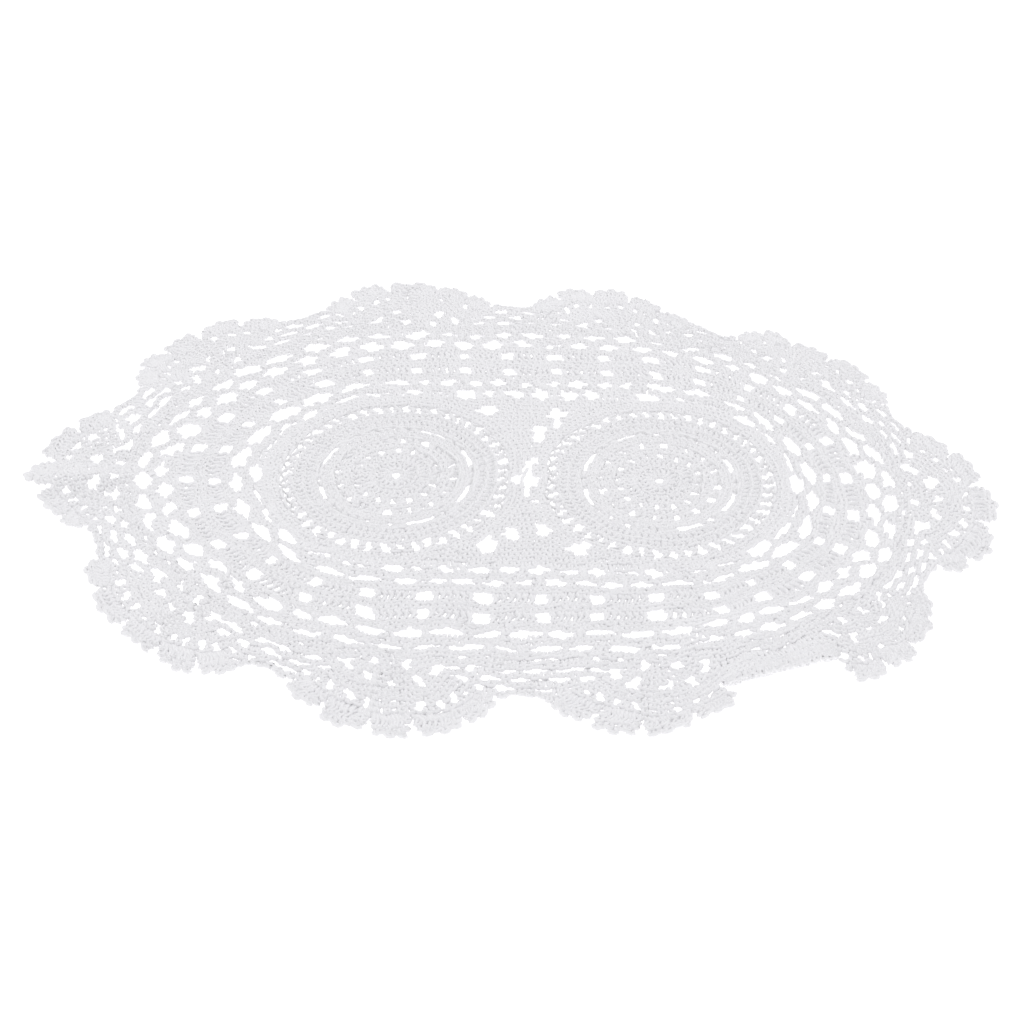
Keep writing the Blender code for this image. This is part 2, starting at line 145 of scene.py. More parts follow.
# %% The lie of the border
# Reaches where the pulls start, and where those of the body, the edge and the tips are full.
LIE_START, LIE_BODY, LIE_EDGE, LIE_TIP = 0.0450, 0.0900, 0.1270, 0.1500
# Each row: walk at BLOCK_GAUGE, then body, edge and tip pulls, then body and tip drifts.
LIE = np.array([
    (0.000, 1.000, 1.002, 1.020, 0.002, 0.004),      # near valley
    (0.046, 0.975, 0.990, 0.992, 0.001, 0.005),      # near right scallop
    (0.070, 0.955, 0.968, 0.915, 0.004, 0.001),      # turned edge, first notch
    (0.104, 0.950, 0.972, 0.950, -0.002, -0.001),    # turned edge, last notch
    (0.122, 0.955, 0.960, 0.930, -0.002, -0.005),    # gathered scallop
    (0.152, 0.975, 0.941, 0.915, -0.004, -0.011),    # right end, near valley
    (0.165, 0.957, 0.941, 0.955, -0.004, -0.013),    # right end, nearest lobe
    (0.184, 0.930, 0.940, 0.940, -0.003, -0.007),    # right end scallop
    (0.217, 0.910, 0.903, 0.892, 0.001, 0.001),      # right end, far valley
    (0.249, 0.920, 0.875, 0.828, 0.007, 0.011),      # far right corner scallop
    (0.282, 0.975, 0.887, 0.880, 0.007, 0.009),      # far right corner valley
    (0.316, 1.030, 0.965, 0.980, 0.007, 0.016),      # far right scallop
    (0.368, 1.030, 1.003, 1.000, 0.005, 0.014),      # far valley
    (0.420, 1.020, 1.000, 0.990, 0.001, 0.006),      # far left scallop
    (0.455, 1.000, 1.003, 1.015, 0.001, 0.007),      # far left corner valley
    (0.487, 1.000, 1.000, 0.985, 0.004, 0.008),      # far left corner scallop
    (0.520, 1.010, 1.040, 1.040, 0.002, 0.001),      # left end, far valley
    (0.552, 1.040, 1.050, 1.055, 0.000, 0.004),      # left end scallop
    (0.568, 1.015, 1.022, 0.985, -0.002, 0.002),     # left end, nearest lobe
    (0.585, 0.990, 1.003, 0.982, -0.004, -0.003),    # left end, near valley
    (0.617, 0.940, 0.945, 0.940, -0.004, 0.005),     # near left corner scallop
    (0.650, 0.965, 0.965, 0.985, 0.000, 0.005),      # near left corner valley
    (0.690, 1.000, 1.000, 1.018, 0.001, 0.007),      # near left scallop
])


def pulled(points):
    """Chart points after the pulls and drifts of LIE."""
    walk, reach = oval_place(points)
    total = oval_length(BLOCK_GAUGE)
    before = np.searchsorted(LIE[:, 0], walk, side="right") - 1
    after = (before + 1) % len(LIE)
    way = ((walk - LIE[before, 0]) % total) / ((LIE[after, 0] - LIE[before, 0]) % total)
    row = LIE[before] + smooth(way)[..., None] * (LIE[after] - LIE[before])
    start = smooth((reach - LIE_START) / (LIE_BODY - LIE_START))
    edge = np.clip((reach - LIE_BODY) / (LIE_EDGE - LIE_BODY), 0, 1)
    tip = np.clip((reach - LIE_EDGE) / (LIE_TIP - LIE_EDGE), 0, 1)
    pull = 1 + start * (row[..., 1] - 1) + edge * (row[..., 2] - row[..., 1])
    pull += tip * (row[..., 3] - row[..., 2])
    border = np.clip((reach - LIE_BODY) / (LIE_TIP - LIE_BODY), 0, 1)
    drift = start * row[..., 4] + border * (row[..., 5] - row[..., 4])
    return oval_frame((walk + drift) / total, reach * pull, BLOCK_GAUGE)[0]


print("the lie has", len(LIE), "rows")

# %% Ridges and clearance
CLOTH = 0.0020              # thickness of the crochet
RIDGE_START, RIDGE_FULL = 0.0850, 0.1420
# Each row: turn at EDGE_GAUGE, height, half width.
RIDGES = (
    (0.035, 0.0011, 0.0140), (0.147, 0.0026, 0.0060), (0.168, 0.0030, 0.0065),
    (0.188, 0.0020, 0.0060), (0.262, 0.0012, 0.0130), (0.334, 0.0018, 0.0080),
    (0.372, 0.0022, 0.0080), (0.405, 0.0020, 0.0070), (0.480, 0.0012, 0.0160),
    (0.560, 0.0012, 0.0150), (0.640, 0.0014, 0.0110), (0.722, 0.0014, 0.0080),
    (0.755, 0.0048, 0.0070), (0.850, 0.0016, 0.0110), (0.945, 0.0012, 0.0150),
)
MIDDLE_CLEAR, EDGE_CLEAR = 0.00005, 0.0003      # how far the cloth is off the table
CLEAR_START, CLEAR_FULL = 0.0300, 0.0700


def ripple(points, reach):
    """Height that the soft ridges add."""
    height = np.zeros(reach.shape)
    for turn, top, half_width in RIDGES:
        crest, outward = oval_frame(turn, EDGE_GAUGE, EDGE_GAUGE)
        along = np.array([-outward[1], outward[0]])
        away = points - crest
        near = away @ outward > -EDGE_GAUGE
        height += near * top * np.exp(-((away @ along) / half_width) ** 2)
    return height * smooth((reach - RIDGE_START) / (RIDGE_FULL - RIDGE_START))


print(len(RIDGES), "soft ridges")

# %% The turned edge
TURN_REACH, TURN_NOTCH = 0.1270, 0.0257      # its ends lie in two notches between lobes
TURN_RADIUS = 0.0015        # middle of the cloth's thickness in the roll
TURN_UNDER = 0.0240         # how deep the turned layer lies under the mat
TURN_RAMP = 0.0160          # over this length the mat comes down again beside it


def turned_end(scallop, beside):
    """Chart point where the turned edge ends in a deep notch of a scallop."""
    turn = (scallop + 0.5) / SCALLOPS + beside / oval_length(EDGE_GAUGE)
    return oval_frame(turn, TURN_REACH, EDGE_GAUGE)[0]


TURN_FIRST = turned_end(0, TURN_NOTCH)
TURN_LENGTH = float(np.linalg.norm(turned_end(1, -TURN_NOTCH) - TURN_FIRST))
TURN_ALONG = (turned_end(1, -TURN_NOTCH) - TURN_FIRST) / TURN_LENGTH
TURN_OUTWARD = np.array([TURN_ALONG[1], -TURN_ALONG[0]])


def turn_place(points):
    """How far chart points are along the turned edge, and how far beyond it."""
    away = points - TURN_FIRST
    return away @ TURN_ALONG, away @ TURN_OUTWARD


def in_turn(points):
    """Whether chart points are between the two ends of the turned edge."""
    beside = turn_place(points)[0]
    return (beside > 0) & (beside < TURN_LENGTH)


print("turned edge", round(TURN_LENGTH * 1000, 1), "mm long")

# %% The wander of hand-made rounds
WANDER = 0.00045            # how far the rounds wander
WANDER_LEAST = 0.3          # share of the wander that even the middle has
WANDER_START, WANDER_FULL = 0.0300, 0.0900
WANDER_WAVES = 7
WANDER_LENGTHS = (0.014, 0.045)      # shortest and longest wave
WANDER_SEEDS = (3, 4)       # for the chart's two directions
LOFT = 0.00012              # how the cloth's height wanders
LOFT_SEED = 5


def wave_table(seed):
    """Directions, wave numbers and phases of the waves that make one slow wander."""
    waves = np.random.default_rng(seed)
    bearing = waves.uniform(0, 2 * math.pi, WANDER_WAVES)
    wave_number = 2 * math.pi / waves.uniform(*WANDER_LENGTHS, WANDER_WAVES)
    vectors = np.stack([np.cos(bearing), np.sin(bearing)], axis=-1) * wave_number[:, None]
    return vectors, waves.uniform(0, 2 * math.pi, WANDER_WAVES)


def wander(points, seed):
    """A slow random wave over the chart, about -1 to 1."""
    vectors, phases = wave_table(seed)
    total = np.zeros(points.shape[:-1])
    for vector, phase in zip(vectors, phases):
        total += np.sin(points @ vector + phase)
    return total / math.sqrt(WANDER_WAVES / 2)


print("the rounds wander by about", WANDER * 1000, "mm")

# %% Laying the chart on the table
NORMAL_STEP = 0.0002        # between the points that the cloth's normal is taken from
CHART_MIDDLE = np.array([-0.0087, -0.0020])   # chart point that lies over the origin


def laid_middle(points, between):
    """Where the middle of the cloth's thickness lies for chart points."""
    from_middle = oval_place(points)[1]
    amount = smooth((from_middle - WANDER_START) / (WANDER_FULL - WANDER_START))
    sway = np.stack([wander(points, seed) for seed in WANDER_SEEDS], axis=-1)
    loft = LOFT * (1 + wander(points, LOFT_SEED))
    points = points + WANDER * (WANDER_LEAST + amount[..., None]) * sway
    beside, beyond = turn_place(points)
    turned = between & (beyond > 0)
    lift = smooth(1 + beside / TURN_RAMP) * smooth(1 + (TURN_LENGTH - beside) / TURN_RAMP)
    angle = np.clip(beyond / TURN_RADIUS, 0, math.pi)
    straight = np.maximum(beyond - math.pi * TURN_RADIUS, 0)
    back = np.where(turned, TURN_RADIUS * np.sin(angle) - straight - beyond, 0)
    flat = points + back[..., None] * TURN_OUTWARD
    ramp = np.where(beyond > 0, 1 - beyond / TURN_RAMP, 1 + (beyond + TURN_UNDER) / TURN_RAMP)
    over = np.where(turned, 1 + np.cos(angle), 2 * lift * smooth(ramp))
    reach = oval_place(flat)[1]
    rise = smooth((reach - CLEAR_START) / (CLEAR_FULL - CLEAR_START))
    height = CLOTH / 2 + TURN_RADIUS * over + ripple(flat, reach)
    height += MIDDLE_CLEAR + rise * (EDGE_CLEAR - MIDDLE_CLEAR) + np.maximum(loft, 0)
    return np.concatenate([pulled(flat) - CHART_MIDDLE, height[..., None]], axis=-1)


def laid(points, lift):
    """Strands of chart points, at heights over the middle of the cloth, laid on the table.

    A strand stays whole: its middle tells whether it goes under with the turned edge.
    """
    between = in_turn(points.mean(axis=-2, keepdims=True))
    here = laid_middle(points, between)
    right = laid_middle(points + (NORMAL_STEP, 0), between) - here
    back = laid_middle(points + (0, NORMAL_STEP), between) - here
    normal = np.cross(right, back)
    normal /= np.linalg.norm(normal, axis=-1, keepdims=True)
    return here + normal * lift[..., None]


print("the chart's middle lies at", laid_middle(np.zeros((1, 2)), False)[0].round(4))

# %% [markdown]
# ## Camera and light
# The mat is photographed from low over a table's near side, in soft light from all round, on
# a white ground that glows a little. The camera's place was worked out from the shape that
# the two round centres take in the picture. Its lens is slightly long, so nothing is bent.
# Past the ground the camera sees a brighter white backdrop, which lights nothing.

# %% Camera
CAMERA_AT = (0.0287, -0.6109, 0.4972)
CAMERA_AIM = (0.0073, 0.0026, 0.0)
CAMERA_FIELD = math.radians(31.3)
SENSOR = 36                 # its width in mm
PICTURE = 1024              # pixels on each side of the photo
CAMERA_SHIFT = (-12 / PICTURE, -32 / PICTURE)

camera_data = bpy.data.cameras.new("photo camera")
camera_data.sensor_width = SENSOR
camera_data.angle = CAMERA_FIELD
camera_data.shift_x, camera_data.shift_y = CAMERA_SHIFT
camera = bpy.data.objects.new("photo camera", camera_data)
bpy.context.scene.collection.objects.link(camera)


def aim(thing, place, target):
    """Puts a camera or light at a place, looking at a target."""
    away = np.subtract(target, place)
    flat = math.hypot(away[0], away[1])
    thing.location = place
    thing.rotation_euler = (math.atan2(flat, -away[2]), 0, math.atan2(-away[0], away[1]))


aim(camera, CAMERA_AT, CAMERA_AIM)
bpy.context.scene.camera = camera
print("camera lens", round(camera_data.lens, 1), "mm")

# %% Soft studio light
ROOM_COLOUR, ROOM_STRENGTH = (0.985, 0.985, 1.0, 1), 0.785
BACKDROP_COLOUR, BACKDROP_STRENGTH = (1, 1, 1, 1), 1.3      # what shows past the ground
GAMMA = 1.25                # softens the contrast of the whites

view_settings = bpy.context.scene.view_settings
view_settings.view_transform = "Standard"
view_settings.look = "None"
view_settings.gamma = GAMMA

world = bpy.data.worlds.new("soft room")
world.use_nodes = True
world_nodes, world_links = world.node_tree.nodes, world.node_tree.links
room_light = world_nodes["Background"]
backdrop = world_nodes.new("ShaderNodeBackground")
for background, colour, strength in ((room_light, ROOM_COLOUR, ROOM_STRENGTH),
                                     (backdrop, BACKDROP_COLOUR, BACKDROP_STRENGTH)):
    background.inputs["Color"].default_value = colour
    background.inputs["Strength"].default_value = strength
seen = world_nodes.new("ShaderNodeLightPath")
either = world_nodes.new("ShaderNodeMixShader")
world_links.new(seen.outputs["Is Camera Ray"], either.inputs[0])
world_links.new(room_light.outputs[0], either.inputs[1])
world_links.new(backdrop.outputs[0], either.inputs[2])
world_links.new(either.outputs[0], world_nodes["World Output"].inputs[0])
bpy.context.scene.world = world
print("room light", ROOM_STRENGTH, "and backdrop", BACKDROP_STRENGTH)

# %% Softboxes
def softbox(name, place, size, power):
    """A square area light that looks at the mat, with its side in metres and power in watts."""
    data = bpy.data.lights.new(name, "AREA")
    data.size = size
    data.energy = power
    light = bpy.data.objects.new(name, data)
    bpy.context.scene.collection.objects.link(light)
    aim(light, place, (0, 0, 0))
    print(name, power, "W")


softbox("back softbox", (0.25, 0.75, 1.05), 0.9, 2.4)
softbox("top softbox", (-0.35, -0.10, 1.25), 0.8, 1.4)

# %% [markdown]
# ## Yarn as a tube
# Each length of yarn is a row of points with a ring of corners round each point. The rings
# must not twist against each other, so each ring's first corner is the one before, pushed
# square to the new direction. All strands with the same number of points are built at once.
# The texture map runs along the yarn in metres and once round it, ready for its twist.

# %% Tubes from paths
YARN = 0.00180              # thickness of the yarn
SIDES = 5                   # a length of yarn has five sides, which the shading rounds off
NEARLY_UP = np.array([0.01, 0.01, 1.01])      # no strand starts along it
LEAST_LENGTH = 1e-12        # a direction is never divided by less


def unit(vectors):
    """Vectors of length 1."""
    return vectors / np.maximum(np.linalg.norm(vectors, axis=-1, keepdims=True), LEAST_LENGTH)


def rings_round(paths, thickness):
    """Rings of corners round every point of paths."""
    ahead = unit(np.diff(paths, axis=1))
    inner = ahead[:, 1:] + ahead[:, :-1]
    along = unit(np.concatenate([ahead[:, :1], inner, ahead[:, -1:]], axis=1))
    side = unit(np.cross(along[:, 0], NEARLY_UP))
    rings = np.empty(paths.shape[:2] + (SIDES, 3))
    turns = 2 * math.pi * np.arange(SIDES) / SIDES
    for point in range(paths.shape[1]):
        forward = along[:, point]
        side = unit(side - np.sum(side * forward, axis=1, keepdims=True) * forward)
        other = np.cross(forward, side)
        ring = (np.cos(turns)[None, :, None] * side[:, None]
                + np.sin(turns)[None, :, None] * other[:, None])
        rings[:, point] = paths[:, point, None] + thickness / 2 * ring
    return rings


def tubes(paths, thickness):
    """Corner places, faces and their map for tubes along paths of shape (strands, points, 3)."""
    strands, count, _ = paths.shape
    start = (np.arange(strands) * count * SIDES)[:, None, None]
    row = (np.arange(count - 1) * SIDES)[None, :, None]
    here = np.arange(SIDES)[None, None, :]
    after = (here + 1) % SIDES
    walls = np.stack([start + row + here, start + row + after,
                      start + row + SIDES + after, start + row + SIDES + here], axis=-1)
    lengths = np.linalg.norm(np.diff(paths, axis=1), axis=2).cumsum(axis=1)
    lengths = np.concatenate([np.zeros((strands, 1)), lengths], axis=1)
    low, high, left, right = np.broadcast_arrays(lengths[:, :-1, None], lengths[:, 1:, None],
                                                 here / SIDES, (here + 1) / SIDES)
    places = np.stack([np.stack([low, left], -1), np.stack([low, right], -1),
                       np.stack([high, right], -1), np.stack([high, left], -1)], axis=-2)
    flat_start = start[:, :, 0] + here[0]
    caps = np.concatenate([flat_start[:, ::-1], flat_start + (count - 1) * SIDES])
    cap_map = np.zeros((len(caps), SIDES, 2))
    cap_map[len(caps) // 2:, :, 0] = lengths[:, -1:]
    return (rings_round(paths, thickness).reshape(-1, 3), walls.reshape(-1, 4),
            places.reshape(-1, 4, 2), caps, cap_map)


print("yarn", YARN * 1000, "mm thick")

# %% One mesh from many tubes
def yarn_mesh(name, groups, thickness):
    """One mesh object from several groups of paths."""
    corners, corner_maps, face_sizes, points = [], [], [], []
    offset = 0
    for paths in groups:
        rings, walls, places, caps, cap_map = tubes(paths, thickness)
        for faces, face_map in ((walls, places), (caps, cap_map)):
            corners.append((faces + offset).reshape(-1))
            corner_maps.append(face_map.reshape(-1, 2))
            face_sizes.append(np.full(len(faces), faces.shape[1]))
        points.append(rings)
        offset += len(rings)
    corners, face_sizes = np.concatenate(corners), np.concatenate(face_sizes)
    points, corner_maps = np.concatenate(points), np.concatenate(corner_maps)
    mesh = bpy.data.meshes.new(name)
    mesh.vertices.add(len(points))
    mesh.vertices.foreach_set("co", points.reshape(-1).astype(np.float32))
    mesh.loops.add(len(corners))
    mesh.loops.foreach_set("vertex_index", corners.astype(np.int32))
    mesh.polygons.add(len(face_sizes))
    starts = np.concatenate([[0], face_sizes.cumsum()[:-1]])
    mesh.polygons.foreach_set("loop_start", starts.astype(np.int32))
    mesh.polygons.foreach_set("loop_total", face_sizes.astype(np.int32))
    mesh.update(calc_edges=True)
    strand_map = mesh.uv_layers.new(name="strand")
    strand_map.data.foreach_set("uv", corner_maps.reshape(-1).astype(np.float32))
    mesh.polygons.foreach_set("use_smooth", np.ones(len(face_sizes), bool))
    mesh.validate()
    piece = bpy.data.objects.new(name, mesh)
    bpy.context.scene.collection.objects.link(piece)
    print(name, int(np.sum(face_sizes - 2)), "triangles")
    return piece


# %% [markdown]
# ## The stitches
# Three stitches make nearly the whole mat. A single crochet is a short bent loop. A double
# crochet is a tall post of two legs that cross, with a turn of yarn round its middle, which a
# post at a bar goes without. A picot is the small knot of a loop at an edge. A chain that
# hangs free is one slack strand. Each is charted once, lying on its back: how far to the
# side, as a share of its width, how far up, as a share of its height plus a fixed length,
# and how high over the cloth. A stitch also has a flare, so that it can fan out.

# %% Stitch shapes
SINGLE = np.array([
    (-0.24, 0.00, 0.0002, -0.00030), (-0.27, 0.50, 0.0000, 0.00020),
    (-0.44, 0.90, -0.0002, 0.00035), (-0.12, 1.00, 0.0001, 0.00045),
    (0.40, 0.98, 0.0000, 0.00050), (0.52, 0.80, -0.0003, 0.00020),
    (0.24, 0.50, 0.0000, 0.00035), (0.24, 0.00, 0.0002, -0.00030)])
DOUBLE = np.array([
    (-0.24, 0.00, 0.0002, -0.00030), (-0.24, 0.28, 0.0000, 0.00025),
    (0.14, 0.60, 0.0000, 0.00035), (-0.36, 0.95, -0.0002, 0.00035),
    (-0.12, 1.00, 0.0001, 0.00045), (0.40, 1.00, 0.0000, 0.00050),
    (0.48, 0.90, -0.0004, 0.00010), (-0.14, 0.60, 0.0000, -0.00035),
    (0.24, 0.28, 0.0000, -0.00005), (0.24, 0.00, 0.0002, -0.00030)])
WRAP = np.array([
    (-0.40, 0.34, 0.0000, -0.00010), (0.00, 0.47, 0.0000, 0.00070),
    (0.40, 0.60, 0.0000, -0.00010)])
PICOT = np.array([
    (-0.20, 0.00, -0.0006, 0.00000), (-0.40, 0.50, 0.0000, 0.00020),
    (-0.20, 1.00, 0.0000, 0.00030), (0.20, 1.00, 0.0000, 0.00020),
    (0.40, 0.50, 0.0000, 0.00010), (0.20, 0.00, -0.0006, -0.00010)])
CHAIN = np.array([
    (0.00, 0.00, -0.0006, 0.00000), (0.50, 0.25, 0.0000, 0.00030),
    (-0.50, 0.75, 0.0000, 0.00010), (0.00, 1.00, 0.0006, 0.00020)])
SHAPES = {"single": (SINGLE,), "double": (DOUBLE, WRAP), "post": (DOUBLE,), "picot": (PICOT,),
          "chain": (CHAIN,)}
print("stitches:", ", ".join(SHAPES))

# %% Rows of stitches
# Columns of a row's table.
PLACE, OUTWARD = slice(0, 2), slice(2, 4)
WIDTH, HEIGHT, LEAN, FLARE = range(4, 8)
COLUMNS = 8
MADE_ROUND = 1.04           # stitches are this much wider than their place, so they overlap


def stitches(kind, points, outward, width, height, lean=0.0, flare=0.0):
    """A row of stitches: their kind, and a table of place, direction, width, height and so on."""
    points, outward = points.reshape(-1, 2), outward.reshape(-1, 2)
    table = np.empty((len(points), COLUMNS))
    table[:, PLACE] = points
    table[:, OUTWARD] = outward
    for column, values in ((WIDTH, width), (HEIGHT, height), (LEAN, lean), (FLARE, flare)):
        table[:, column] = values
    return kind, table


def stitch_middles(table):
    """Chart points at the middles of a table's stitches."""
    return table[:, PLACE] + table[:, OUTWARD] * table[:, HEIGHT, None] / 2


print(COLUMNS, "columns in a row's table")

# %% Strands of a stitch, each a little different
chance = np.random.default_rng(1127)
UNEVEN_PLACE = 0.00018      # how far a hand-made stitch strays
UNEVEN_LEAN = 0.08
UNEVEN_HEIGHT = 0.07
UNEVEN_LIFT = 0.00012
LONGEST = 0.0060            # a longer step would reach across a notch of the border


def strand_paths(shape, table):
    """Paths of one strand of a stitch shape for every row of a table, laid on the table top."""
    count = len(table)
    across, share, more, over = shape.T[:, None]
    place = table[:, None, PLACE] + chance.normal(0, UNEVEN_PLACE, (count, 1, 2))
    outward = table[:, None, OUTWARD]
    along = np.stack([-outward[..., 1], outward[..., 0]], axis=-1)
    height = (table[:, HEIGHT] * (1 + chance.normal(0, UNEVEN_HEIGHT, count)))[:, None]
    lean = (table[:, LEAN] + chance.normal(0, UNEVEN_LEAN, count))[:, None]
    up = share * height + more
    width = table[:, WIDTH, None] * (1 + table[:, FLARE, None] * (share - 0.5))
    beside = across * width + lean * (share - 0.5) * height
    flat = place + beside[..., None] * along + up[..., None] * outward
    paths = laid(flat, over + chance.normal(0, UNEVEN_LIFT, (count, 1)))
    paths[..., 2] = np.maximum(paths[..., 2], YARN / 2)
    steps = np.linalg.norm(np.diff(paths, axis=1), axis=2)
    return paths[steps.max(axis=1) < LONGEST]


def work(name, rows, thickness=YARN):
    """Crochets a piece from its rows of stitches."""
    groups, counts = [], {}
    for kind in SHAPES:
        tables = [table for row_kind, table in rows if row_kind == kind]
        if not tables:
            continue
        table = np.concatenate(tables)
        counts[kind] = len(table)
        groups += [strand_paths(shape, table) for shape in SHAPES[kind]]
    print(name, counts)
    return yarn_mesh(name, groups, thickness)


print("steps over", LONGEST * 1000, "mm are left out")

# %% [markdown]
# ## The two medallions
# Each small mat is worked outwards from a ring: solid rounds, two rounds of little eyelets,
# eight chain arches that leave slits, two more solid rounds, an open round of spokes, and a
# firm edge. A round is a list of bearings at one radius. Where the two mats meet, their edges
# are drawn apart by a narrow slit, and edge stitches that would fall in a gap are left out.

# %% Rounds of a medallion
Round = namedtuple("Round", "name kind count radius height")
MEDALLION_ROUNDS = (
    Round("ring", "single", 9, 0.0019, 0.0018),
    Round("first solid round", "double", 16, 0.0034, 0.0060),
    Round("second solid round", "double", 33, 0.0091, 0.0062),
    Round("first eyelet round", "first eyelets", 16, 0.0150, 0.0047),
    Round("first cord", "single", 48, 0.0193, 0.0033),
    Round("second eyelet round", "second eyelets", 16, 0.0222, 0.0051),
    Round("second cord", "single", 68, 0.0269, 0.0022),
    Round("second cord again", "single", 74, 0.0290, 0.0021),
    Round("arches", "arches", 8, 0.0310, 0.0032),
    Round("third cord", "single", 84, 0.0337, 0.0020),
    Round("third solid round", "double", 90, 0.0354, 0.0044),
    Round("fourth solid round", "double", 98, 0.0394, 0.0048),
    Round("spokes", "spokes", 48, 0.0438, 0.0067),
    Round("inner edge", "single", 120, 0.0503, 0.0032),
    Round("outer edge", "single", 128, 0.0533, 0.0033),
)
# Places and widths of the stitches of an open round, as shares of the way to the next one.
OPEN_ROUNDS = {
    "first eyelets": ((-0.16, 0.16), 0.34),
    "second eyelets": ((-0.25, 0.0, 0.25), 0.27),
    "arches": ((-0.19, -0.065, 0.065, 0.19), 0.13),
    "spokes": ((0.0,), 0.61),
}
# How the stitches of an open round lean, stray and differ in width.
OPEN_LEAN, OPEN_STRAY, OPEN_WIDTH = 0.20, 0.045, (0.80, 1.50)
FAR_WIDER = 0.14            # on the far side the stitches lie flatter and wider
ENDS_WIDER = 0.42           # and so do those at the two ends
# Slits between the arches that the maker drew closed, on each side, and the stitches there.
CLOSED_SLITS = {-1: (2.5, 5.5), 1: (1.5, 5.5)}
CLOSED_PLACES = (-0.17, 0.0, 0.17)
# Where the mats meet, the rounds from a radius on are pinched in, around one bearing.
PINCH, PINCH_START, PINCH_WAY, PINCH_HALF = 0.0030, 0.030, 0.022, 0.17
print(len(MEDALLION_ROUNDS), "rounds in a medallion")

# %% Gaps of the join
Gap = namedtuple("Gap", "name x y width depth lean")
JOIN_GAPS = (
    Gap("middle slit", 0.0004, -0.0004, 0.0060, 0.0164, 10),
    Gap("middle slit's right side", 0.0050, -0.0018, 0.0050, 0.0078, 0),
    Gap("middle slit's left side", -0.0056, -0.0012, 0.0052, 0.0066, 0),
    Gap("above the slit", -0.0013, 0.0186, 0.0036, 0.0030, 0),
    Gap("beside the slit's top", 0.0036, 0.0122, 0.0030, 0.0030, 0),
    Gap("below the slit", 0.0018, -0.0217, 0.0032, 0.0036, 0),
    Gap("beside the slit's foot", 0.0046, -0.0160, 0.0030, 0.0036, 0),
    Gap("near left", -0.0149, -0.0446, 0.0084, 0.0074, -10),
    Gap("near left's top", -0.0150, -0.0390, 0.0036, 0.0054, 0),
    Gap("near right", 0.0230, -0.0444, 0.0112, 0.0082, 4),
    Gap("near inner", -0.0052, -0.0364, 0.0092, 0.0076, 16),
    Gap("near inner right", 0.0076, -0.0336, 0.0058, 0.0096, 24),
    Gap("far left", -0.0202, 0.0478, 0.0096, 0.0074, 0),
    Gap("far right", 0.0130, 0.0462, 0.0084, 0.0086, -8),
    Gap("far right's foot", 0.0128, 0.0398, 0.0040, 0.0070, 0),
    Gap("far inner", 0.0040, 0.0338, 0.0092, 0.0064, 0),
    Gap("far inner's foot", 0.0046, 0.0288, 0.0046, 0.0070, 0),
)
GAP_KEPT = 1.05             # a little over 1, so that no stitch hangs on a gap's edge


def clear_of_gaps(row):
    """The stitches of a row whose middles are not in a gap of the join."""
    kind, table = row
    middle = stitch_middles(table)
    clear = np.ones(len(table), bool)
    for gap in JOIN_GAPS:
        lean = math.radians(gap.lean)
        away = middle - (gap.x, gap.y)
        across = away @ np.array([math.cos(lean), math.sin(lean)]) / (gap.width / 2)
        down = away @ np.array([-math.sin(lean), math.cos(lean)]) / (gap.depth / 2)
        clear &= across ** 2 + down ** 2 > GAP_KEPT
    return kind, table[clear]


print(len(JOIN_GAPS), "gaps in the join")

# %% The left and the right medallion
def medallion_rows(side):
    """Every round of the small mat on one side, -1 or 1."""
    rows = []
    for line in MEDALLION_ROUNDS:
        step = 2 * math.pi / line.count
        middle = line.radius + line.height / 2
        start = chance.uniform(0, step)
        places, share = OPEN_ROUNDS.get(line.kind, ((0.0,), MADE_ROUND))
        places = np.add.outer(np.arange(line.count), places)
        if line.kind == "arches":
            start = 0.0
            places = np.append(places, np.add.outer(CLOSED_SLITS[side], CLOSED_PLACES))
        bearing = start + step * places.reshape(-1)
        kind, lean, width = line.kind, 0.0, step * middle * share
        if line.kind in OPEN_ROUNDS:
            kind = "double"
            bearing = bearing + step * chance.normal(0, OPEN_STRAY, len(bearing))
            lean = chance.normal(0, OPEN_LEAN, len(bearing))
            width = width * chance.uniform(*OPEN_WIDTH, len(bearing))
            width = width * (1 + FAR_WIDER * np.sin(bearing) + ENDS_WIDER * np.cos(bearing) ** 2)
        inward = (bearing - (math.pi if side > 0 else 0) + math.pi) % (2 * math.pi) - math.pi
        pinch = smooth((line.radius - PINCH_START) / PINCH_WAY) * PINCH
        radius = line.radius - pinch * np.exp(-(inward / PINCH_HALF) ** 2)
        outward = np.stack([np.cos(bearing), np.sin(bearing)], axis=-1)
        points = radius[:, None] * outward + (side * MEDALLION_X, 0)
        row = stitches(kind, points, outward, width, line.height, lean,
                       flare=line.height / middle)
        rows.append(clear_of_gaps(row))
    return rows


left_medallion = work("left_medallion", medallion_rows(-1))
right_medallion = work("right_medallion", medallion_rows(1))

# %% [markdown]
# ## Nets and the bands between them
# The open rounds are nets: lens-shaped gaps between bars. The maker would chain across each
# gap, and the next round's stitches crowd round the chains. So a net is charted by its gaps
# alone, and a band is any number of rows of single crochets that fill the way from one net's
# gaps to the next. Each gap is a little different, as the yarn was pulled.

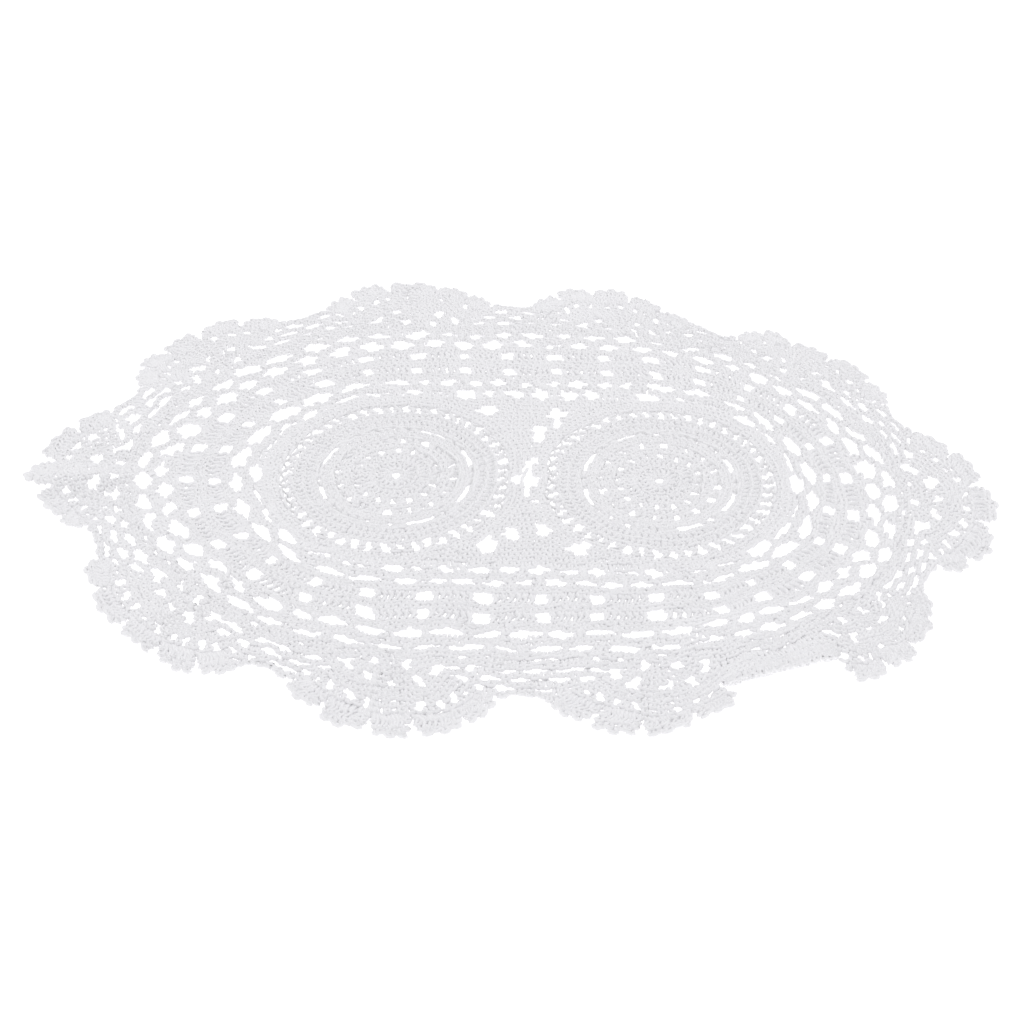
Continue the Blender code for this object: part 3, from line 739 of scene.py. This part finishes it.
# %% The nets
# Each net: its cells, the place of the first, the reach of the gaps' middles, the width of a
# bar, the depth of a gap at the sides and at the ends, and the reach that cells are counted at.
Net = namedtuple("Net", "name cells first reach bar depth end_depth gauge")
INNER_NET = Net("inner net", 42, 0.5, 0.0597, 0.0034, 0.0076, 0.0078, 0.0440)
SECOND_NET = Net("second net", 42, 0.0, 0.0672, 0.0030, 0.0046, 0.0080, 0.0440)
OUTER_NET = Net("outer net", 56, 0.0, 0.0968, 0.0034, 0.0062, 0.0080, 0.0970)
LAST_NET = Net("last net", 56, 0.5, 0.1050, 0.0036, 0.0046, 0.0064, 0.1000)
VALLEY_NETS = (
    Net("pin holes", 120, 0.3, 0.1106, 0.0060, 0.0010, 0.0010, EDGE_GAUGE),
    Net("first valley net", 80, 0.5, 0.1164, 0.0040, 0.0026, 0.0026, EDGE_GAUGE),
    Net("second valley net", 80, 0.0, 0.1210, 0.0040, 0.0028, 0.0028, EDGE_GAUGE),
    Net("third valley net", 80, 0.5, 0.1260, 0.0040, 0.0024, 0.0024, EDGE_GAUGE),
)
print("cells:", [net.cells for net in (INNER_NET, SECOND_NET, OUTER_NET, LAST_NET)])

# %% How the gaps differ
INNER_OPEN = (0, 1, 2, 4, 7, 10)    # wide cells of the inner net, from a side's middle
INNER_LAST = 10
CLOSED_SHARE = (0.08, 0.24)         # what is left open of the others
OPEN_SHARE = (0.68, 1.20)    # how deep a gap is, as a share of the depth of its net
FULLNESS = (0.62, 1.15)      # below 1 a gap has drawn-in sides, as pulled yarn leaves it
GAP_STRAY, GAP_SLANT = 0.0007, 0.11

Unevenness = namedtuple("Unevenness", "share shift slant fullness")
net_unevenness = {}


def unevenness(net):
    """How each gap of a net differs: its depth, place, slant and fullness."""
    if net.name not in net_unevenness:
        share = chance.uniform(*OPEN_SHARE, net.cells)
        if net is INNER_NET:
            cell = np.arange(net.cells)
            from_middle = np.minimum(cell, net.cells - 1 - cell)
            from_middle = np.minimum(from_middle, 2 * INNER_LAST - from_middle)
            closed = ~np.isin(from_middle, INNER_OPEN)
            share[closed] = chance.uniform(*CLOSED_SHARE, closed.sum())
        net_unevenness[net.name] = Unevenness(
            share, chance.normal(0, GAP_STRAY, net.cells),
            chance.normal(0, GAP_SLANT, net.cells), chance.uniform(*FULLNESS, net.cells))
    return net_unevenness[net.name]


print("gaps are", OPEN_SHARE, "of their net's depth")

# %% Edges of the gaps
BAR_SHARE = 0.70            # how much of a bar's width its gaps leave
# Round the ends the cloth is drawn wider, so its gaps are rounder there.
RIGHT_ROUNDER, LEFT_ROUNDER = 0.58, 0.38
# The cloth is drawn a little towards the far side, so its gaps are deeper there.
FAR_DEEPER, NEAR_DEEPER = 0.36, -0.36
TURN_SOLID = 0.0050         # the cloth has no gaps this near to the turned edge
TURN_SHELL = 0.0200         # from each end, shells lie turned under along this length
TURN_DEEP = 1.2             # how much farther in the cloth is solid over them


def clear_of_turn(points):
    """How open a gap may be at chart points: the turned edge itself is solid."""
    beside, beyond = turn_place(points)
    past_end = np.maximum(-beside, beside - TURN_LENGTH)
    along = smooth(1 - np.maximum(past_end, 0) / TURN_SOLID)
    deep = TURN_SOLID * (1 + TURN_DEEP * smooth(1 - np.abs(past_end) / TURN_SHELL))
    return 1 - along * smooth(2 + beyond / deep)


def gap_edges(net, points):
    """Reaches of the near and far edges of a net's gaps beside chart points, one at a bar."""
    walk, reach = oval_place(points, net.gauge)
    cell = walk / oval_length(net.gauge) * net.cells - net.first
    number = np.round(cell).astype(int) % net.cells
    away = points[..., 0] - np.clip(points[..., 0], -MEDALLION_X, MEDALLION_X)
    at_end = np.abs(away) / reach
    pitch = oval_length(net.gauge) / net.cells * (1 + at_end * (net.reach / net.gauge - 1))
    uneven = unevenness(net)
    beside = (cell - np.round(cell)) * pitch - uneven.shift[number]
    share = np.clip(np.abs(beside) / ((pitch - net.bar * BAR_SHARE) / 2), 0, 1)
    rounder = np.where(points[..., 0] > 0, RIGHT_ROUNDER, LEFT_ROUNDER)
    fullness = uneven.fullness[number] * (1 + rounder * at_end)
    opening = (1 - share ** fullness) ** (1 / fullness)
    depth = (net.depth + at_end * (net.end_depth - net.depth)) * uneven.share[number]
    deeper = np.where(points[..., 1] > 0, FAR_DEEPER, NEAR_DEEPER)
    depth = depth * (1 + deeper * (1 - at_end)) * clear_of_turn(points)
    half = opening * depth / 2 + (share < 1) * np.minimum(YARN, depth) / 2
    middle = net.reach + uneven.slant[number] * beside
    return middle - half, middle + half


print("gaps end", TURN_SOLID * 1000, "mm before the turned edge")

# %% Bands of stitches
PITCH = 0.00290             # from stitch to stitch along a band
PITCH_STRAY = 0.05          # how far a stitch strays along its row, in pitches
RAGGED = 0.00040            # how far a stitch at a gap reaches into it, or stays back
ROW_OVERLAP = 0.0002        # how far a row reaches into the next
LEAST_BAND = 0.0015         # the maker's chain is never thinner


def edge_reach(edge, points, side):
    """Reach of a band's edge at chart points: one side of a net's gaps, a rim, or one reach."""
    if isinstance(edge, Net):
        return gap_edges(edge, points)[side]
    return edge(points) if callable(edge) else edge


def band(inner, outer, rows):
    """Rows of single crochets from one net, or reach, to another net, reach or rim."""
    start, end = (edge.reach if isinstance(edge, Net) else edge for edge in (inner, outer))
    gauge = start if callable(outer) else (start + end) / 2
    count = round(oval_length(gauge) / PITCH)
    made = []
    for row in range(rows):
        turn = np.arange(count) + chance.uniform() + chance.normal(0, PITCH_STRAY, count)
        turn = turn / count
        points, outward = oval_frame(turn, gauge, gauge)
        low, high = edge_reach(inner, points, 1), edge_reach(outer, points, 0)
        ragged = chance.normal(0, RAGGED, count), chance.normal(0, RAGGED, count)
        low = low + isinstance(inner, Net) * (row == 0) * ragged[0]
        high = high + isinstance(outer, Net) * (row == rows - 1) * ragged[1]
        height = np.maximum(high - low, LEAST_BAND)
        low = (low + high - height) / 2
        base = oval_frame(turn, low + row * height / rows, gauge)[0]
        made.append(stitches("single", base, outward, PITCH * MADE_ROUND,
                             height / rows + ROW_OVERLAP))
    return made


print("stitches of a band are", round(PITCH * 1000, 1), "mm apart")

# %% Bars of a net
BAR_LEAN = 0.26
BAR_WIDTH = 0.0026
BAR_MORE = 0.0010           # how much taller than its gaps a bar is


def bars(net):
    """A double crochet at each bar of a net."""
    turn = (np.arange(net.cells) + net.first + 0.5) / net.cells
    lean = chance.normal(0, BAR_LEAN, net.cells)
    height = max(net.depth, net.end_depth) + BAR_MORE
    points, outward = oval_frame(turn, net.reach - height / 2, net.gauge)
    return stitches("post", points, outward, BAR_WIDTH, height, lean)


print("bars of the inner net:", INNER_NET.cells)

# %% [markdown]
# ## The join and the inner net
# Short rows of single crochets fill the two wedges where the circles part, around a few wide
# gaps. Then the first rounds go all the way round both medallions.

# %% The join between the medallions
MEDALLION_RADIUS = 0.0565
WEDGE_FIRST, WEDGE_LAST = 0.0128, 0.0545
WEDGE_ROWS = 15
WEDGE_STRAY, WEDGE_OVERLAP = 0.1, 0.0003
# A loose chain hangs down in the middle slit, from its top towards its foot.
SLIT_CHAIN = np.array([(-0.0004, 0.0066), (-0.0013, 0.0034), (-0.0022, 0.0002),
                       (-0.0021, -0.0032), (-0.0014, -0.0066)])
CHAIN_WIDTH = 0.0005


def wedge_rows():
    """The short rows in the wedges between the medallions."""
    rows = []
    height = (WEDGE_LAST - WEDGE_FIRST) / WEDGE_ROWS
    for away in (-1, 1):
        for row in range(WEDGE_ROWS):
            y = WEDGE_FIRST + row * height
            half = MEDALLION_X - math.sqrt(MEDALLION_RADIUS ** 2 - (y + height / 2) ** 2)
            count = max(round(2 * half / PITCH), 1)
            x = np.arange(count) + 0.5 + chance.normal(0, WEDGE_STRAY, count)
            x = x * 2 * half / count - half
            points = np.stack([x, np.full(count, away * y)], axis=-1)
            outward = np.tile([0.0, float(away)], (count, 1))
            rows.append(clear_of_gaps(stitches("single", points, outward, PITCH * MADE_ROUND,
                                               height + WEDGE_OVERLAP)))
    steps = np.diff(SLIT_CHAIN, axis=0)
    rows.append(stitches("chain", SLIT_CHAIN[:-1], unit(steps), CHAIN_WIDTH,
                         np.linalg.norm(steps, axis=1)))
    return rows


print(WEDGE_ROWS, "short rows in each wedge")

# %% The inner net
RIM_REACH = 0.0546          # where the first round goes round both medallions
BLOCKS_REACH = 0.0731       # where the blocks begin
inner_rows = wedge_rows() + band(RIM_REACH, INNER_NET, 1) + [bars(INNER_NET)]
inner_rows += band(INNER_NET, SECOND_NET, 2) + [bars(SECOND_NET)]
inner_rows += band(SECOND_NET, BLOCKS_REACH, 2)
inner_net = work("inner_net", inner_rows)

# %% [markdown]
# ## The blocks
# Two rounds of solid blocks, six double crochets each, stand over each other with square
# eyelets between. They are the calm band that the eye rests on, so they are worked closest.

# %% Block rounds
BLOCKS = 32
BLOCK_FIRST = 0.3           # place of the first eyelet, in blocks
BLOCK_STITCHES = 6
BLOCK_STRAY = 0.02          # how far a block strays along its round, in blocks
SEAM = (0.0792, 0.0840)     # the close rows between the two rounds
BlockRound = namedtuple("BlockRound", "name reach height eyelet")
BLOCK_ROUNDS = (
    BlockRound("first block round", 0.0724, 0.0078, 0.0054),
    BlockRound("second block round", 0.0833, 0.0078, 0.0058),
)


def block_rows(line):
    """The double crochets of one round of blocks."""
    pitch = oval_length(BLOCK_GAUGE) / BLOCKS
    spacing = (pitch - line.eyelet) / BLOCK_STITCHES
    offsets = (np.arange(BLOCK_STITCHES) - (BLOCK_STITCHES - 1) / 2) * spacing / pitch
    offsets = offsets[None, :] + chance.normal(0, BLOCK_STRAY, (BLOCKS, 1))
    turn = (np.arange(BLOCKS)[:, None] + BLOCK_FIRST + 0.5 + offsets) / BLOCKS
    points, outward = oval_frame(turn.reshape(-1), line.reach, BLOCK_GAUGE)
    return stitches("double", points, outward, spacing * MADE_ROUND, line.height)


block_rounds = work("block_rounds", [block_rows(line) for line in BLOCK_ROUNDS] + band(*SEAM, 2))

# %% [markdown]
# ## The outer net
# Two rounds of longer cells let the mat grow to its full size with little yarn.

# %% Outer net rounds
BLOCKS_END = 0.0904         # where the second round of blocks ends
outer_rows = band(BLOCKS_END, OUTER_NET, 2) + [bars(OUTER_NET)]
outer_rows += band(OUTER_NET, LAST_NET, 2) + [bars(LAST_NET)]
outer_net = work("outer_net", outer_rows)

# %% [markdown]
# ## The valleys
# Between the fans a few closer rounds step down to each valley. They are worked as whole
# rounds here, and the stitches that would lie under a fan are left out.

# %% The rim in a valley
VALLEY_EDGE = 0.1294
VALLEY_SHOULDER = 0.0050    # half the width of the flat bottom of a valley
VALLEY_SLOPE = 0.50
VALLEY_RUN = 0.0080         # the rim rises over this length
FAN_SIDE = math.radians(57)


def beside_valley(points):
    """How far along the edge chart points are from the nearest valley's middle."""
    scallop = oval_place(points, EDGE_GAUGE)[0] / oval_length(EDGE_GAUGE) * SCALLOPS
    return np.abs(scallop - np.round(scallop)) * oval_length(EDGE_GAUGE) / SCALLOPS


def valley_edge(points):
    """Reach of the mat's rim in a valley, which rises to the fans on both sides."""
    along = np.clip(beside_valley(points) - VALLEY_SHOULDER, 0, VALLEY_RUN)
    return VALLEY_EDGE + VALLEY_SLOPE * along


def beside_fans(row):
    """The stitches of a row that no fan covers."""
    kind, table = row
    middle = stitch_middles(table)
    beside = oval_length(EDGE_GAUGE) / SCALLOPS / 2 - beside_valley(middle)
    angle = np.arctan2(beside / FAN_SPREAD, oval_place(middle)[1] - FAN_BASE)
    return kind, table[angle > FAN_SIDE]


print("scallops are", round(oval_length(EDGE_GAUGE) / SCALLOPS, 3), "m apart")

# %% Close rows along the turned edge
TURN_PITCH, TURN_HEIGHT = 0.0025, 0.0026
TURN_ROWS = np.linspace(-0.0068, 0.0066, 7)      # how far beyond the fold each row is
TURN_CLOSED = 0.0160        # how far from each end the first of them runs


def turned_rows():
    """Close rows of single crochets along the turned edge."""
    rows = []
    count = round(TURN_LENGTH / TURN_PITCH)
    for number, beyond in enumerate(TURN_ROWS):
        along = (np.arange(count) + chance.uniform()) * TURN_LENGTH / count
        if number == 0:
            along = along[np.abs(along - TURN_LENGTH / 2) > TURN_LENGTH / 2 - TURN_CLOSED]
        points = TURN_FIRST + along[:, None] * TURN_ALONG + beyond * TURN_OUTWARD
        outward = np.tile(TURN_OUTWARD, (len(along), 1))
        rows.append(stitches("single", points, outward, TURN_PITCH * MADE_ROUND, TURN_HEIGHT))
    return rows


print(len(TURN_ROWS), "rows along the turned edge")

# %% Valley rounds
pin_holes, first_net, second_net, third_net = VALLEY_NETS
valley_rows = band(LAST_NET, pin_holes, 2) + band(pin_holes, first_net, 2)
valley_rows += band(first_net, second_net, 1) + band(second_net, third_net, 1)
valley_rows += band(third_net, valley_edge, 2)
valley_rows = [beside_fans(row) for row in valley_rows] + turned_rows()
valley_rounds = work("valley_rounds", valley_rows)

# %% [markdown]
# ## The fans
# A fan starts close, opens into eyelets, and ends in five lobes, each a shell of double
# crochets with a firm rim and three picots. The stitches are longest in the middle of a lobe.
# A fan's rows are bands too, round their own eyelets.

# %% Eyelets of a fan
# Each net: the eyelets' places in lobes off the axis, how far out they are, their width and
# depth, and how full each is.
FanNet = namedtuple("FanNet", "name places out width depth share")
FIRST_EYELETS = FanNet("first eyelets", (-1.5, 1.5), 0.0086, 0.0050, 0.0040, (1.0, 1.0))
WEB_EYELETS = FanNet("web eyelets", (-2.2, -1.2, 0, 1.2, 2.2), 0.0180, 0.0064, 0.0054,
                     (0.35, 1.0, 0.30, 1.0, 0.35))
LOBE_EYELETS = FanNet("lobe eyelets", (-2.22, -1.78, -1.22, -0.78, -0.24, 0.22, 0.78, 1.22,
                                       1.78, 2.22), 0.0298, 0.0036, 0.0042, (0.8,) * 10)
FAN_NETS = (FIRST_EYELETS, WEB_EYELETS, LOBE_EYELETS)
EYELET_SHARE = (0.6, 1.15)  # how the eyelets differ


def fan_edges(net, shares, angle):
    """Near and far edges of a fan's eyelets at angles off its axis."""
    near = np.full(angle.shape, net.out)
    far = near.copy()
    for place, share in zip(net.places, shares):
        beside = (angle - place * LOBE_ANGLE) * net.out * FAN_SPREAD
        way = np.clip(np.abs(beside) / (net.width * math.sqrt(share) / 2), 0, 1)
        half = net.depth * share / 2 * np.sqrt(1 - way ** 2) + (way < 1) * YARN / 2
        near = np.minimum(near, net.out - half)
        far = np.maximum(far, net.out + half)
    return near, far


print("eyelets in a fan:", sum(len(net.places) for net in FAN_NETS))

# %% Rows of a fan
ROW_HALF = math.radians(60)
ROW_STRAY = 0.006           # how far a row is turned, in radians
ARC_POINTS = 121            # where a row's length is measured
FAN_ROW_LEAST = 0.0007      # a thinner row is left out


def fan_arc(scallop, out):
    """Angles of the stitches of a fan's row, a pitch apart."""
    angle = np.linspace(-ROW_HALF, ROW_HALF, ARC_POINTS)
    length = np.linalg.norm(np.diff(fan_points(scallop, angle, out), axis=0), axis=1)
    length = np.concatenate([[0], length.cumsum()])
    count = max(round(length[-1] / PITCH), 1)
    return np.interp((np.arange(count) + 0.5) * length[-1] / count, length, angle)


def fan_band(scallop, low, high, rows):
    """Rows of single crochets of a fan, between edges that are functions of the angle."""
    axis = np.zeros(1)
    out = float(low(axis)[0] + high(axis)[0]) / 2
    made = []
    for row in range(rows):
        angle = fan_arc(scallop, out) + chance.normal(0, ROW_STRAY)
        start, height = low(angle), (high(angle) - low(angle)) / rows
        points, outward = fan_frame(scallop, angle, start + row * height)
        kept = height > FAN_ROW_LEAST
        made.append(stitches("single", points[kept], outward[kept], PITCH * MADE_ROUND,
                             height[kept] + ROW_OVERLAP))
    return made


def level(out):
    """An edge that is the same at every angle."""
    return lambda angle: np.full(angle.shape, out)


print("the first eyelets lie in a row of", len(fan_arc(0, FIRST_EYELETS.out)), "stitches")

# %% A lobe
SHELL_OUT = 0.0328
SHELL_SHARE = 0.74          # of the way from there to the rim; a firm row does the rest
RIM_OVERLAP = 0.02          # and starts a little below the shell's top
SHELL_PLACES = np.linspace(-0.44, 0.44, 9)
RIM_PLACES = np.linspace(-0.42, 0.42, 7)
PICOT_PLACES = np.array([-0.35, 0.0, 0.35])
PICOT_START = 0.90
SHELL_WIDTH, RIM_WIDTH, PICOT_WIDTH = 0.0025, 0.0029, 0.0040
PICOT_HEIGHT = 0.0013
LOBE_PARALLEL = 0.88        # 1 would make a lobe's stitches parallel
# The rim of a lobe: places across it, and how far out its edge is there.
RIM_ALONG = (-0.50, -0.43, -0.35, -0.18, 0.00, 0.18, 0.35, 0.43, 0.50)
RIM_OUT = (0.0376, 0.0400, 0.0426, 0.0416, 0.0436, 0.0416, 0.0426, 0.0400, 0.0376)


def one_lobe(scallop, middle):
    """The shell, firm rim and picots of one lobe, which all point the way of its middle."""
    rows = []
    axis = fan_frame(scallop, np.array([middle * LOBE_ANGLE]), SHELL_OUT)[1]
    for kind, across, start, share, width in (
            ("double", SHELL_PLACES, 0.0, SHELL_SHARE, SHELL_WIDTH),
            ("single", RIM_PLACES, SHELL_SHARE - RIM_OVERLAP, 1.0, RIM_WIDTH),
            ("picot", PICOT_PLACES, PICOT_START, 1.0, PICOT_WIDTH)):
        points, outward = fan_frame(scallop, (middle + across) * LOBE_ANGLE, SHELL_OUT)
        outward = unit(outward + LOBE_PARALLEL * (axis - outward))
        full = np.interp(across, RIM_ALONG, RIM_OUT) - SHELL_OUT
        height = full * (share - start) if kind != "picot" else PICOT_HEIGHT
        points = points + outward * (full * start)[:, None]
        rows.append(stitches(kind, points, outward, width, height))
    return rows


print("a lobe is", round((max(RIM_OUT) - SHELL_OUT) * 1000, 1), "mm high")

# %% The ten fans
FAN_START = 0.0022
FAN_ROWS = (2, 3, 4, 1)      # rows of stitches before, between and after the eyelets
SOFT_YARN = 0.00185         # the loose edge is fuller than the rest


def one_fan(scallop):
    """Every row of one fan."""
    edges = [level(FAN_START)]
    for net in FAN_NETS:
        shares = np.array(net.share) * chance.uniform(*EYELET_SHARE, len(net.share))
        for side in (0, 1):
            edges.append(lambda angle, net=net, shares=shares, side=side:
                         fan_edges(net, shares, angle)[side])
    edges.append(level(SHELL_OUT))
    rows = []
    for low, high, count in zip(edges[::2], edges[1::2], FAN_ROWS):
        rows += fan_band(scallop, low, high, count)
    for lobe in range(LOBES):
        rows += one_lobe(scallop, lobe - (LOBES - 1) / 2)
    return rows


fans = []
for scallop in range(SCALLOPS):
    fans += one_fan(scallop)
scalloped_border = work("scalloped_border", fans, thickness=SOFT_YARN)

# %% [markdown]
# ## White cotton
# Crochet cotton is spun from a few plies, so its surface is a fine rope. A node group turns
# the map of each strand into slanting ply ridges, and the grooves between them are darkened
# in the colour as painted shade. A second group makes the fuzz of loose fibres and a faint
# unevenness of tone, from the place in space, so it needs no map.

# %% Node helpers
def new_group(name, inputs, outputs):
    """A shader node group with named sockets, and its input and output nodes."""
    tree = bpy.data.node_groups.new(name, "ShaderNodeTree")
    for socket, kind, value in inputs:
        item = tree.interface.new_socket(name=socket, in_out="INPUT", socket_type=kind)
        if value is not None:
            item.default_value = value
    for socket, kind in outputs:
        tree.interface.new_socket(name=socket, in_out="OUTPUT", socket_type=kind)
    return tree, tree.nodes.new("NodeGroupInput"), tree.nodes.new("NodeGroupOutput")


def math_node(tree, operation, first, second=None):
    """A math node; its inputs are sockets or numbers."""
    node = tree.nodes.new("ShaderNodeMath")
    node.operation = operation
    for slot, value in enumerate((first, second)):
        if value is None:
            continue
        if isinstance(value, (int, float)):
            node.inputs[slot].default_value = value
        else:
            tree.links.new(value, node.inputs[slot])
    return node.outputs[0]


print("node helpers:", new_group.__name__, "and", math_node.__name__)

# %% Twisted plies
FLOAT, VECTOR = "NodeSocketFloat", "NodeSocketVector"
GROOVE_SHARPNESS = 3.0      # higher makes the grooves between the plies narrower
plies, plies_in, plies_out = new_group(
    "twisted plies",
    [("Strand map", VECTOR, None), ("Turns per metre", FLOAT, 420.0), ("Plies", FLOAT, 3.0)],
    [("Height", FLOAT), ("Groove", FLOAT)])
split = plies.nodes.new("ShaderNodeSeparateXYZ")
plies.links.new(plies_in.outputs["Strand map"], split.inputs[0])
wound = math_node(plies, "MULTIPLY", split.outputs[0], plies_in.outputs["Turns per metre"])
round_it = math_node(plies, "MULTIPLY", split.outputs[1], plies_in.outputs["Plies"])
phase = math_node(plies, "MULTIPLY", math_node(plies, "ADD", wound, round_it), math.pi)
ridge = math_node(plies, "ABSOLUTE", math_node(plies, "SINE", phase))
plies.links.new(ridge, plies_out.inputs["Height"])
# The groove mask sets where painted shade goes in the cotton's colour.
groove = math_node(plies, "POWER", math_node(plies, "SUBTRACT", 1.0, ridge), GROOVE_SHARPNESS)
plies.links.new(groove, plies_out.inputs["Groove"])
print(plies.name, "has", len(plies.nodes), "nodes")

# %% Fuzz and tone
fuzz, fuzz_in, fuzz_out = new_group(
    "cotton fuzz",
    [("Fibre scale", FLOAT, 2600.0), ("Tone scale", FLOAT, 55.0)],
    [("Height", FLOAT), ("Tone", FLOAT)])
where = fuzz.nodes.new("ShaderNodeTexCoord")
for scale, detail, out in (("Fibre scale", 3.0, "Height"), ("Tone scale", 2.0, "Tone")):
    noise = fuzz.nodes.new("ShaderNodeTexNoise")
    noise.inputs["Detail"].default_value = detail
    fuzz.links.new(where.outputs["Object"], noise.inputs["Vector"])
    fuzz.links.new(fuzz_in.outputs[scale], noise.inputs["Scale"])
    fuzz.links.new(noise.outputs["Fac"], fuzz_out.inputs[out])
print(fuzz.name, "has", len(fuzz.nodes), "nodes")

# %% White crochet cotton
cotton = bpy.data.materials.new("white crochet cotton")
cotton.use_nodes = True
tree = cotton.node_tree
shader = tree.nodes["Principled BSDF"]
for socket, value in (("Sheen Weight", 0.12), ("Sheen Roughness", 0.45),
                      ("Specular IOR Level", 0.30)):
    shader.inputs[socket].default_value = value
strand_map = tree.nodes.new("ShaderNodeUVMap")
strand_map.uv_map = "strand"
ply_node = tree.nodes.new("ShaderNodeGroup")
ply_node.node_tree = plies
tree.links.new(strand_map.outputs["UV"], ply_node.inputs["Strand map"])
fuzz_node = tree.nodes.new("ShaderNodeGroup")
fuzz_node.node_tree = fuzz
print("cotton uses", ply_node.node_tree.name, "and", fuzz_node.node_tree.name)

# %% Colour of the cotton, with painted shade in the ply grooves
# The light colour is the cotton's own; the darker one is painted shade in the ply grooves, mixed
# with the cotton's own random tone.
COTTON_LIGHT = (0.930, 0.925, 0.940, 1)
COTTON_PAINTED_SHADE_AND_TONE = (0.880, 0.873, 0.895, 1)
GROOVE_PAINTED_SHADE, TONE_SHADE = 0.55, 0.35
# The ply grooves get painted shade, weighted by the groove mask; the fuzz tone adds random
# darkening of the cotton's own tone.
painted_shade_and_tone = math_node(
    tree, "ADD", math_node(tree, "MULTIPLY", ply_node.outputs["Groove"], GROOVE_PAINTED_SHADE),
    math_node(tree, "MULTIPLY", fuzz_node.outputs["Tone"], TONE_SHADE))
colours = tree.nodes.new("ShaderNodeMix")
colours.data_type = "RGBA"
tree.links.new(painted_shade_and_tone, colours.inputs["Factor"])
colours.inputs["A"].default_value = COTTON_LIGHT
colours.inputs["B"].default_value = COTTON_PAINTED_SHADE_AND_TONE
tree.links.new(colours.outputs["Result"], shader.inputs["Base Color"])
print("cotton is", COTTON_LIGHT[:3], "to", COTTON_PAINTED_SHADE_AND_TONE[:3])

# %% Roughness and relief of the cotton
ROUGHNESS = (0.78, 0.92)
FUZZ_RELIEF = 0.6           # height of the fibres, as a share of the plies'
RELIEF_STRENGTH, RELIEF_DEPTH = 0.35, 0.00015
rough = tree.nodes.new("ShaderNodeMapRange")
rough.inputs["To Min"].default_value, rough.inputs["To Max"].default_value = ROUGHNESS
tree.links.new(fuzz_node.outputs["Height"], rough.inputs["Value"])
tree.links.new(rough.outputs["Result"], shader.inputs["Roughness"])

relief = math_node(tree, "ADD", ply_node.outputs["Height"],
                   math_node(tree, "MULTIPLY", fuzz_node.outputs["Height"], FUZZ_RELIEF))
bump = tree.nodes.new("ShaderNodeBump")
bump.inputs["Strength"].default_value = RELIEF_STRENGTH
bump.inputs["Distance"].default_value = RELIEF_DEPTH
tree.links.new(relief, bump.inputs["Height"])
tree.links.new(bump.outputs["Normal"], shader.inputs["Normal"])
print("cotton has", len(tree.nodes), "nodes")

# %% Cotton on every piece
PIECES = (left_medallion, right_medallion, inner_net, block_rounds, outer_net, valley_rounds,
          scalloped_border)
for piece in PIECES:
    piece.data.materials.append(cotton)
    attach(piece, "root")
    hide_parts("doily")
print(len(PIECES), "pieces of cotton")

# %% [markdown]
# ## The ground
# The ground is white and a little bright of its own, as a lit table for small goods is, so
# that the gaps of the lace read as clear white.

# %% White ground
GROUND_SIZE = 6.0
GROUND_WHITE = (0.9, 0.9, 0.9, 1)
GROUND_ROUGHNESS = 0.9
GROUND_GLOW = 0.62
ground_mesh = bpy.data.meshes.new("white ground")
half = GROUND_SIZE / 2
ground_mesh.from_pydata([(-half, -half, 0), (half, -half, 0), (half, half, 0), (-half, half, 0)],
                        [], [(0, 1, 2, 3)])
ground = bpy.data.objects.new("white_ground", ground_mesh)
bpy.context.scene.collection.objects.link(ground)
paper = bpy.data.materials.new("lit white ground")
paper.use_nodes = True
paper_shader = paper.node_tree.nodes["Principled BSDF"]
for socket, value in (("Base Color", GROUND_WHITE), ("Roughness", GROUND_ROUGHNESS),
                      ("Emission Color", (1, 1, 1, 1)), ("Emission Strength", GROUND_GLOW)):
    paper_shader.inputs[socket].default_value = value
ground_mesh.materials.append(paper)
print("ground", GROUND_SIZE, "m wide")
